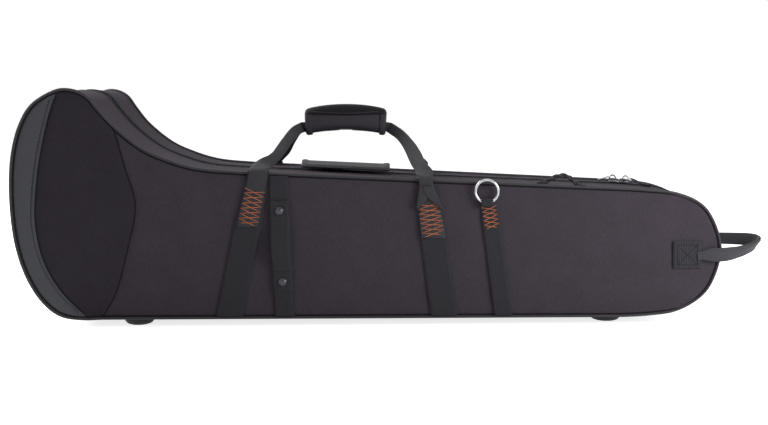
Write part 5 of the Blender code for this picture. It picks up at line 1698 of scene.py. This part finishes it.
@dataclass
class SnapStrap(FaceStrap):
    """The strap with a loop held by two snaps."""

    tab: float = 0.012
    bulge: float = 0.009

    def build(self) -> None:
        """The strap, its tab, the loop and the two caps."""
        low_snap, high_snap = (FOOT_HEIGHT + share * BELL_HEIGHT for share in (0.161, 0.472))
        body, tab = self.shell.body, self.tab
        self.lay("snap_strap", self.frames(self.low, self.high, 44), body)
        self.edge_rows("snap_strap_stitches", high_snap + tab + 0.004, self.high - 0.002, STRAP_TOP, body)
        self.edge_rows("snap_strap_base_stitches", self.low + 0.002, low_snap - tab - 0.001, STRAP_TOP, body)
        self.cross_row("snap_strap_cross_row", high_snap + tab + 0.006, STRAP_TOP, body)
        stand = STRAP_TOP + GAP
        top = stand + WEBBING_THICKNESS
        self.lay("snap_tab", self.frames(low_snap - tab, low_snap + tab, 12, stand=stand), body)
        self.edge_rows("snap_tab_stitches", low_snap - tab + 0.001, low_snap + tab - 0.001, top, body)
        self.cross_row("snap_tab_cross_row", low_snap + tab - 0.004, top, body)
        self.make_loop(low_snap + tab + STRAP_STANDOFF, high_snap + tab, stand)
        self.cross_row("snap_loop_cross_row", high_snap - tab + 0.003, top, "snap_loop")
        for node, z, rider in (("snap_cap_low", low_snap, body), ("snap_cap_high", high_snap, "snap_loop")):
            at = self.point(z, 0, top + 0.0002)
            fasten(lathe(f"{node}_dome", DOME, at, self.shell.out(), GUNMETAL, 32), rider, node)

    def make_loop(self, start: float, end: float, stand: float) -> None:
        """The loop, which bulges between its snaps, and its edge stitches."""
        rows, edges = [], ([], [])
        for share in shares(48):
            z = start + (end - start) * share
            free = min(share * (end - start) / (end - start - self.tab * 2), 1.0)
            lift = stand + self.bulge * math.sin(math.pi * free) ** 2
            rows.append(self.frame_at(z, self.width, lift))
            for side, row in zip((-1, 1), edges):
                row.append(self.point(z, side * 0.78, lift + WEBBING_THICKNESS))
        for before, row, after in zip(rows, rows[1:], rows[2:]):
            proud = row.wide.cross((after.at - before.at).normalized()).normalized()
            row.proud = proud if proud.dot(self.shell.out()) > 0 else -proud
        self.lay("snap_loop", rows, "snap_loop")
        for (side, _), row in zip(SIDES, edges):
            self.sew(f"snap_loop_stitches_{side}", row, "snap_loop")


@dataclass
class TailLoop:
    """The sewn patch on the tail and the webbing loop that leaves it."""

    PATH = ((-0.07, 0.0, 0.0), (0.09, 0.0, 0.02), (0.3, 0.04, 0.08), (0.52, 0.1, 0.19),
            (0.7, 0.2, 0.31), (0.77, 0.36, 0.38), (0.7, 0.52, 0.39), (0.45, 0.63, 0.38),
            (0.18, 0.67, 0.38))
    TILTS = (0.0, 0.0, 0.0, 0.12, 0.36, 0.42, 0.4, 0.38, 0.42, 0.48, 0.52, 0.5)

    patch: float = 0.034
    patch_width: float = 0.037
    patch_shift: float = -0.0035
    width: float = 0.017
    thick: float = 0.0045
    reach: float = 0.07

    def build(self) -> None:
        """Patch, its box stitch, and the loop."""
        centre = at_shares((0.956, 0.27))
        half = self.patch / 2
        middle = centre.x + self.patch_shift
        rows = []
        for share in shares(20):
            z = centre.y - half + self.patch * share
            left, right = (FRONT.on_face(middle + side * self.patch_width / 2, z,
                                         STRAP_STANDOFF + WEBBING_THICKNESS / 2) for side in (-1, 1))
            wide = (right - left).normalized()
            proud = wide.cross(Z_AXIS)
            rows.append(Frame((left + right) / 2, wide, proud, self.patch_width, WEBBING_THICKNESS))
        fasten(sweep("tail_patch_webbing", rows, flat_profile(12, 0.03), PATCH_WEBBING), "front_shell",
               "tail_patch")
        corner = half - 0.0045
        box = [(-1, -1), (1, -1), (1, 1), (-1, 1), (-1, -1), (1, 1), (1, -1), (-1, 1)]
        points = [FRONT.on_face(middle + corner * across, centre.y + corner * up, STRAP_TOP)
                  for across, up in traced(box, 8)]
        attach(stitches("tail_patch_stitches", points, FRONT.out(), THREAD_AND_SEAM_SHADOW, 0.0036), "front_shell")
        self.make_loop(centre, half)

    def tilt(self, share: float) -> float:
        """How far the loop has turned over at a share of its length."""
        place = share * (len(self.TILTS) - 1)
        low = min(int(place), len(self.TILTS) - 2)
        return self.TILTS[low] + (self.TILTS[low + 1] - self.TILTS[low]) * (place - low)

    def make_loop(self, centre: Vector, half: float) -> None:
        """The thick loop out round the tail and back to its side, its inner faces darkened as painted shade.
        """
        start_x = centre.x + half + STRAP_STANDOFF
        face_y = FRONT.y(FRONT.tail_depth + PIPING_RADIUS + self.thick / 2 + STRAP_STANDOFF)
        points = [FRONT.on_face(start_x - 0.0085, centre.y - 0.0015, STRAP_TOP),
                  Vector((start_x + self.patch / 4, face_y + 0.0004, centre.y))]
        for along, inward, rise in self.PATH:
            points.append(Vector((RIGHT_X + along * self.reach, face_y + inward * FRONT.tail_depth,
                                  centre.y + rise * self.patch)))
        end = points[-1].copy()
        end.x = OUTLINE.right(end.z) + STRAP_STANDOFF
        path = smooth_open([*points, end], 7)
        rows = []
        for index, along in enumerate(headings(path)):
            turned = Z_AXIS.lerp(along.cross(Z_AXIS).normalized(), self.tilt(index / (len(path) - 1)))
            wide = squared(turned, along)
            taper = 1 - 0.45 * falling(index, 5.0)
            proud = along.cross(wide).normalized()
            rows.append(Frame(path[index], wide, proud, self.width * taper, self.thick * taper))
        item = sweep("tail_loop_webbing", rows, DOUBLED, LOOP_WEBBING)
        # Faces towards the loop's inside take the darker strap webbing as painted shade; the outer faces keep
        # the lighter loop webbing
        item.data.materials.append(WEBBING.material())
        inside = Vector((RIGHT_X + 0.4 * self.reach, face_y + 0.33 * FRONT.tail_depth, centre.y))
        for face in item.data.polygons:
            face.material_index = int(face.normal.dot(inside - face.center) > 0)
        fasten(item, "front_shell", "tail_loop")
        sign = -1 if rows[5].proud.y > 0 else 1
        for side, label in ((-1, "low"), (1, "high")):
            line = [row.at + row.wide * (side * (row.width / 2 - 0.0025))
                    + row.proud * (sign * (row.thick / 2 + 0.0003)) for row in rows[2:-8]]
            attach(stitches(f"tail_loop_stitches_{label}", line, [row.proud * sign for row in rows[2:-8]],
                             DARK_THREAD, 0.004, THREAD_WIDTH), "front_shell")


# Feet, card holder, pull loop and zip sliders

def make_feet() -> None:
    """Four moulded rubber feet, two under each shell."""
    top = FOOT_HEIGHT - GAP
    profile = ((0.0, 0.0009), (0.3, 0.0009), (0.36, 0.0), (0.62, 0.0), (0.78, 0.0012), (0.9, 0.004),
               (0.975, 0.008), (1.0, top - 0.0012), (0.985, top - 0.0004), (0.95, top), (0.0, top))
    for shell in (FRONT, LID):
        for side, shift, larger in (("bell", 0.0, 1.0), ("tail", 0.005, 1.06)):
            node = f"{shell.prefix}_{side}_foot"
            low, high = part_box(node)
            radius = (high.x - low.x) / 2 * larger
            centre = Vector(((low.x + high.x) / 2 + shift, (low.y + high.y) / 2, 0))
            scaled = [(radius * share, height) for share, height in profile]
            fasten(lathe(f"{node}_rubber", scaled, centre, Z_AXIS, FOOT_RUBBER, 44), shell.body, node)


@dataclass
class CardHolder:
    """The arched vinyl holder sewn on the lid, its free edge over the zip."""

    length: float = 0.117
    thick: float = 0.003
    rise: float = 0.0115
    seat: float = 0.036
    reach: float = 0.028

    def at(self, across: float, share: float, lift: float) -> Vector:
        """A point of the holder, from its seat to its free edge."""
        x = share_x(0.46)
        dx = across * self.length / 2
        distance = self.seat - (self.seat + self.reach) * share
        arch = math.sin(math.pi * min(share * 1.3, 1.0) / 2)
        rise = STRAP_STANDOFF + self.rise * arch - self.rise * 0.7 * max(share * 2 - 1, 0) ** 2
        return Vector((x + dx, ZIP_Y + distance, OUTLINE.top(x + dx) + rise + lift))

    def build(self) -> None:
        """The sheet, its welded rim and the stitches that hold it."""
        def spot(u: float, v: float) -> Vector:
            """The top surface, with a shallow window let into it."""
            near = min(u * self.length, (1 - u) * self.length, v * 0.064, (1 - v) * 0.064)
            sunk = 0.001 * (1 / (1 + math.exp(-(near - 0.0075) / 0.0006)))
            return self.at(2 * u - 1, v, self.thick - sunk - 0.0008 * falling(near, 0.0012))

        item = mapped("card_holder_sheet", (90, 44), spot, lambda u, v: (u * self.length, v * 0.064),
                      HOLDER_VINYL, hub=HUB)
        fasten(thicken(item, self.thick * 0.8), "lid_shell", "card_holder")
        corners = [(-0.95, 0.06), (0.95, 0.06), (0.95, 0.94), (-0.95, 0.94), (-0.95, 0.06)]
        points = [self.at(across, share, self.thick - 0.0001) for across, share in traced(corners, 16)]
        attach(stitches("card_holder_stitches", points, Z_AXIS, DARK_THREAD, 0.004), "lid_shell")


@dataclass
class PullLoop:
    """The small corded loop held while the zip is drawn."""

    ARCH = (
        (-0.024, 0.0, 0.008), (-0.017, 0.0018, 0.007), (-0.01, 0.0062, 0.005),
        (-0.003, 0.0098, 0.003), (0.0045, 0.0112, 0.001), (0.0115, 0.0092, -0.001),
        (0.0165, 0.0045, -0.003), (0.021, 0.001, -0.004), (0.026, 0.0, -0.005),
    )

    cord: float = 0.0031

    def build(self) -> None:
        """Two strands laid round each other along the arch."""
        x = share_x(0.771)
        y = FRONT.y(FRONT.edge_depth(x) - 0.01)
        knots = []
        for across, rise, back in self.ARCH:
            up = OUTLINE.top(x + across) + STRAP_STANDOFF + self.cord / 2 + rise
            knots.append(Vector((x + across, y + back, up)))
        path = smooth_open(knots, 12)
        offsets = []
        for index, along in enumerate(headings(path)):
            twist = 2 * math.pi * 3 * index / (len(path) - 1)
            away = Y_AXIS.cross(along).normalized()
            offsets.append((away * math.cos(twist) + Y_AXIS * math.sin(twist)) * self.cord * 0.42)
        for letter, sign in (("a", 1), ("b", -1)):
            strand = [middle + offset * sign for middle, offset in zip(path, offsets)]
            item = tube(f"pull_loop_strand_{letter}", strand, self.cord * 0.6, FOLDED_WEBBING, Y_AXIS,
                        sides=10)
            if letter == "a":
                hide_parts("pull_loop")
            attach(item, "front_shell")
        for label, at in (("left", path[0]), ("right", path[-1])):
            place = Matrix.Translation(at + Z_AXIS * 0.0003)
            tack = rounded_block(f"pull_loop_{label}_tack", (0.01, 0.008, 0.0022), place, 0.0009, 2, WEBBING)
            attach(tack, "front_shell")


@dataclass
class Sliders:
    """The two zip sliders, one with a metal tab and one with a soft toggle."""

    length: float = 0.012
    width: float = 0.009
    height: float = 0.0055
    spacing: float = 0.015
    slope: float = 0.045777

    def origin(self, index: int) -> Vector:
        """The underside of a slider on the coil."""
        x = share_x(0.877) + (index * 2 - 1) * self.spacing / 2
        return Vector((x, ZIP_Y, OUTLINE.top(x) + 0.0013 + STRAP_STANDOFF))

    def on_slope(self, index: int, x: float, y: float, z: float) -> Vector:
        """A point given along the zip, across it and up from it."""
        return self.origin(index) + Matrix.Rotation(self.slope, 3, "Y") @ Vector((x, y, z))

    def make_body(self, index: int, name: str, way: int) -> None:
        """One slider: its shoe with flared nose, and the bridge on top."""
        work = bmesh.new()
        for size, z, flare in (((self.length, self.width, 0.0018), 0.001, 0.72),
                               ((self.length, self.width, 0.002), 0.0043, 0.72),
                               ((0.005, 0.003, 0.003), 0.0027, 1.0)):
            verts = bmesh.ops.create_cube(work, size=1.0)["verts"]
            bmesh.ops.scale(work, vec=size, verts=verts)
            for vert in verts:
                if vert.co.x * way > 0:
                    vert.co.y *= flare
            bmesh.ops.translate(work, vec=(0, 0, z), verts=verts)
        soften(work, 0.0006, 2)
        place = Matrix.Translation(self.origin(index)) @ Matrix.Rotation(self.slope, 4, "Y")
        bmesh.ops.transform(work, matrix=place, verts=work.verts[:])
        finishes = (SILVERED, LACQUERED) if index == 0 else (LACQUERED, SILVERED)
        fasten(to_piece(f"{name}_shoe", work, finishes[0]), name, name)
        points = []
        for share in shares(16):
            x = -math.cos(math.pi * share) * 0.004 + way * 0.0012
            up = self.height - 0.0006 + math.sin(math.pi * share) * 0.0042
            points.append(self.on_slope(index, x, 0, up))
        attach(tube(f"{name}_bridge", points, 0.0009, finishes[1], Y_AXIS, sides=10), name)

    def make_tab(self) -> None:
        """The metal tab with its slot and its rounded end."""
        axis = self.on_slope(0, -(self.length / 2 - 0.0007), 0, self.height + 0.0017)
        tilt = Matrix.Rotation(self.slope - math.radians(17), 4, "Y")
        place = Matrix.Translation(axis) @ tilt
        points = []
        for across, up in circle(Vector((0, 0)), Vector((1, 0)), Vector((0, 1)), 1.0, 40):
            x, y = (math.copysign(abs(part) ** 0.6, part) for part in (across, up))
            points.append(place @ Vector((-0.0036 + 0.0048 * x, 0.0029 * y, 0)))
        proud = tilt.to_3x3() @ Z_AXIS
        fasten(tube("slider_a_tab_loop", points, 0.0007, PLATED, proud, closed=True, sides=10),
               "slider_a_tab", "slider_a_tab")
        place = place @ Matrix.Translation((-0.0121, 0, 0))
        plate = rounded_block("slider_a_tab_plate", (0.0085, 0.0073, 0.0013), place, 0.0005, 3, PLATED)
        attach(plate, "slider_a_tab")

    def make_toggle(self) -> None:
        """The soft toggle: a cord stem and a moulded end lying on the gusset."""
        radius, length, fall = 0.0021, 0.045, 0.0052
        start = self.on_slope(1, self.length / 2 + radius + GAP, 0, self.height)
        way = Vector((math.cos(math.radians(-68)), math.sin(math.radians(-68)), 0))
        knots = []
        for share, drop in ((0.0, 0.0), (0.2, 0.25), (0.5, 0.8), (0.75, 1.0), (1.0, 1.0)):
            knots.append(start + way * (length * share) - Z_AXIS * (fall * drop))
        path = smooth_open(knots, 8)
        sizes = []
        for share in shares(len(path) - 1):
            moulded = 1 / (1 + math.exp(-(share - 0.46) / 0.018))
            nose = min(1.0, math.sqrt(max(1 - ((share - 0.9) / 0.1) ** 2, 0.04))) if share > 0.9 else 1.0
            rings = 0.00022 * math.sin(share * 70) * moulded
            sizes.append(((0.0013 + 0.0011 * moulded) + rings) * nose)
        fasten(tube("slider_b_toggle_cord", path, sizes, COIL_NYLON, Z_AXIS, sides=14), "slider_b_toggle",
               "slider_b_toggle")
        eye = circle(start - X_AXIS * 0.0016, X_AXIS, Y_AXIS, radius, 24)
        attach(tube("slider_b_eye", eye, 0.0006, PLATED, Z_AXIS, closed=True, sides=8), "slider_b")

    def build(self) -> None:
        """Both sliders and their pulls."""
        self.make_body(0, "slider_a", -1)
        self.make_body(1, "slider_b", 1)
        self.make_tab()
        self.make_toggle()


# The hinge along the base and the fittings inside

def make_base_hinge() -> None:
    """The webbing hinge along the base, one strip sewn to both shells."""
    dense = OUTLINE.moved(TAPE_INSET)
    count = len(dense)
    start, end = OUTLINE.slice_at("tail", 6 / 7), OUTLINE.slice_at("left", 1 / 7) + count
    run = Run([dense[index % count] for index in range(start, end + 1)])
    length = run.length()

    def spot(u: float, v: float) -> Vector:
        """The strip's point, from the front shell's side to the lid's."""
        point = run.at(0.0005 + 0.999 * u)
        return Vector((point.x, ZIP_Y + (2 * v - 1) * TAPE_WIDTH, point.y))

    item = mapped("base_hinge_webbing", (300, 16), spot, lambda u, v: (v * TAPE_WIDTH * 2, u * length),
                  WEBBING, hub=HUB)
    settle(thicken(item, 0.0011))
    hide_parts("front_spine_hinge", "lid_spine_hinge")
    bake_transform(item)
    log.info("base hinge")


def make_foam(node: str, body: str) -> None:
    """A plush-covered foam block inside a shell, rounded like real foam."""
    work = copied(node)
    bmesh.ops.recalc_face_normals(work, faces=work.faces[:])
    item = to_piece(f"{node}_foam", work, PLUSH)
    modify(item, "even", "REMESH", mode="VOXEL", voxel_size=0.0035)
    settle(modify(item, "soft", "SMOOTH", iterations=5, factor=0.5))
    for vert in item.data.vertices:
        vert.co += vert.normal * (noise.noise(vert.co * 55) * 0.0004)
    item.data.shade_smooth()
    fasten(item, body, node)


def make_parts_box() -> None:
    """The parts box and its lid in plush-covered board, and the ribbon pull."""
    for node, body in (("accessory_box", "front_shell"), ("accessory_lid", "accessory_lid")):
        work = copied(node)
        bmesh.ops.dissolve_limit(work, angle_limit=math.radians(2), verts=work.verts[:], edges=work.edges[:])
        bmesh.ops.recalc_face_normals(work, faces=work.faces[:])
        item = to_piece(f"{node}_board", work, BOX_PLUSH)
        fasten(modify(item, "edges", "BEVEL", width=0.0007, segments=2, limit_method="ANGLE"), body, node)
    low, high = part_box("accessory_lid")
    middle = (low.x + high.x) / 2
    knots = [Vector((middle, high.y + out, low.z + up)) for out, up in (
        (0.0003, 0.01), (0.0016, 0.004), (0.0036, 0.0005), (0.0042, 0.006), (0.003, 0.012))]
    path = smooth_open(knots, 8)
    rows = [Frame(point, X_AXIS.copy(), along.cross(X_AXIS).normalized(), 0.012, 0.0006)
            for point, along in zip(path, headings(path))]
    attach(sweep("accessory_lid_ribbon", rows, flat_profile(6, 0.06), WEBBING), "accessory_lid")


def make_slide_strap(node: str) -> None:
    """A webbing strap that folds over one bed and holds the hand slide."""
    low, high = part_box(node)
    middle = (low + high) / 2
    width, thick = high.x - low.x, high.y - low.y
    rows = []
    for step, share in enumerate(shares(24)):
        at = Vector((middle.x, middle.y, low.z + (high.z - low.z) * share))
        narrow = 1 - 0.1 * max(step - 21, 0) / 3
        rows.append(Frame(at, X_AXIS.copy(), -Y_AXIS, width * narrow, thick))
    fasten(sweep(f"{node}_webbing", rows, flat_profile(), WEBBING), node, node)
    for letter, side in (("a", -1), ("b", 1)):
        x = middle.x + side * (width / 2 - 0.0026)
        line = [Vector((x, low.y, low.z + 0.002 + 0.076 * share)) for share in shares(20)]
        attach(stitches(f"{node}_stitches_{letter}", line, -Y_AXIS, EDGE_THREAD), node)


# The studio

@dataclass
class Studio:
    """A pale floor, soft lamps, a white surround and the camera."""

    camera_at: Vector = field(default_factory=lambda: Vector((-0.01805, ZIP_Y - 1.445, 0.29)))
    pitch: float = 1.6
    lens: float = 50.6
    shift: float = -0.115

    def make_floor(self) -> None:
        """A wide floor that looks white but keeps the case's shadow."""
        work = bmesh.new()
        bmesh.ops.create_grid(work, x_segments=1, y_segments=1, size=6.0)
        mesh = bpy.data.meshes.new("studio_floor")
        work.to_mesh(mesh)
        work.free()
        mesh.materials.append(bpy.data.materials.new("studio_floor"))
        board = NodeBoard(mesh.materials[0])
        board.plain(Base_Color=(0.86, 0.86, 0.86, 1), Roughness=0.9, Emission_Color=(1, 1, 1, 1))
        board.feed(board.shader, "Emission Strength", board.math("MULTIPLY", board.seen(), 0.78))
        placed("studio_floor", mesh)

    def make_world(self) -> None:
        """An even surround: white to look at, softer as a light."""
        world = bpy.data.worlds.new("studio_world")
        board = NodeBoard(world, "Background")
        level = board.add("ShaderNodeMapRange", {"Value": board.seen(), "To Min": 0.26, "To Max": 1.0})
        board.feed(board.shader, "Strength", level["Result"])
        board.plain(Color=(1, 1, 1, 1))
        bpy.context.scene.world = world

    def make_lamp(self, name: str, at: Colour, aim: Colour, size: float, power: float) -> None:
        """A soft square lamp.

        Args:
            name: its name.
            at: where it hangs.
            aim: what it looks at.
            size: the length of its sides.
            power: its watts.
        """
        lamp = placed(name, given(bpy.data.lights.new(name, "AREA"), shape="SQUARE", size=size, energy=power))
        lamp.location = at
        lamp.rotation_euler = (Vector(aim) - Vector(at)).to_track_quat("-Z", "Y").to_euler()

    def make_camera(self) -> None:
        """The camera at the photographed angle."""
        camera = placed("photo_camera", given(
            bpy.data.cameras.new("photo_camera"), lens=self.lens, sensor_width=36.0, sensor_fit="HORIZONTAL",
            shift_y=self.shift, clip_end=50.0))
        camera.location = self.camera_at
        camera.rotation_euler = (math.radians(90 - self.pitch), 0, 0)
        bpy.context.scene.camera = camera

    def build(self) -> None:
        """Everything round the object."""
        bpy.context.scene.view_settings.view_transform = "Standard"
        self.make_floor()
        self.make_world()
        self.make_lamp("top_lamp", (0.3, 0.35, 1.75), (0.0, 0.0, 0.15), 1.1, 4.0)
        self.make_lamp("back_lamp", (-1.6, 0.6, 1.5), (0.1, 0.0, 0.15), 1.5, 60.0)
        self.make_lamp("left_lamp", (-1.5, -1.6, 0.6), (-0.2, -0.1, 0.1), 0.7, 1.5)
        self.make_lamp("right_lamp", (0.92, -0.66, 0.45), (0.32, -0.1, 0.12), 0.5, 9.6)
        self.make_camera()


def main() -> None:
    """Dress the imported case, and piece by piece."""
    logging.basicConfig(level=logging.INFO, format="%(name)s: %(message)s")
    Studio().build()
    for shell, side in ((FRONT, "front"), (LID, "rear")):
        shell.build()
        left = HandleBand(f"{shell.prefix}_band_left", shell, LEFT_BAND_SHARES, width=0.033)
        right = HandleBand(f"{shell.prefix}_band_right", shell, RIGHT_BAND_SHARES, width=0.0325, neck=0.017,
                           foot_width=0.02, neck_run=0.036, tack=(0.1135, 0.1545, 0.0285), folded=True)
        left.build()
        right.build()
        Handle(shell, f"{side}_handle", f"{shell.prefix}_handle_strap", f"grip_{side}", (left, right)).build()
    make_base_hinge()
    RingStrap("ring_strap", FRONT, RING_STRAP_SHARES, width=0.022).build()
    SnapStrap("snap_strap", FRONT, SNAP_STRAP_SHARES, width=0.0235).build()
    TailLoop().build()
    make_feet()
    CardHolder().build()
    PullLoop().build()
    Sliders().build()
    for node, body in (("bell_cradle", "front_shell"), ("tail_cradle", "front_shell"),
                       ("mouthpiece_block", "front_shell"), ("slide_bed_1", "lid_shell"),
                       ("slide_bed_2", "lid_shell")):
        make_foam(node, body)
    make_parts_box()
    for node in ("slide_strap_1", "slide_strap_2"):
        make_slide_strap(node)


if __name__ == "__main__":
    main()
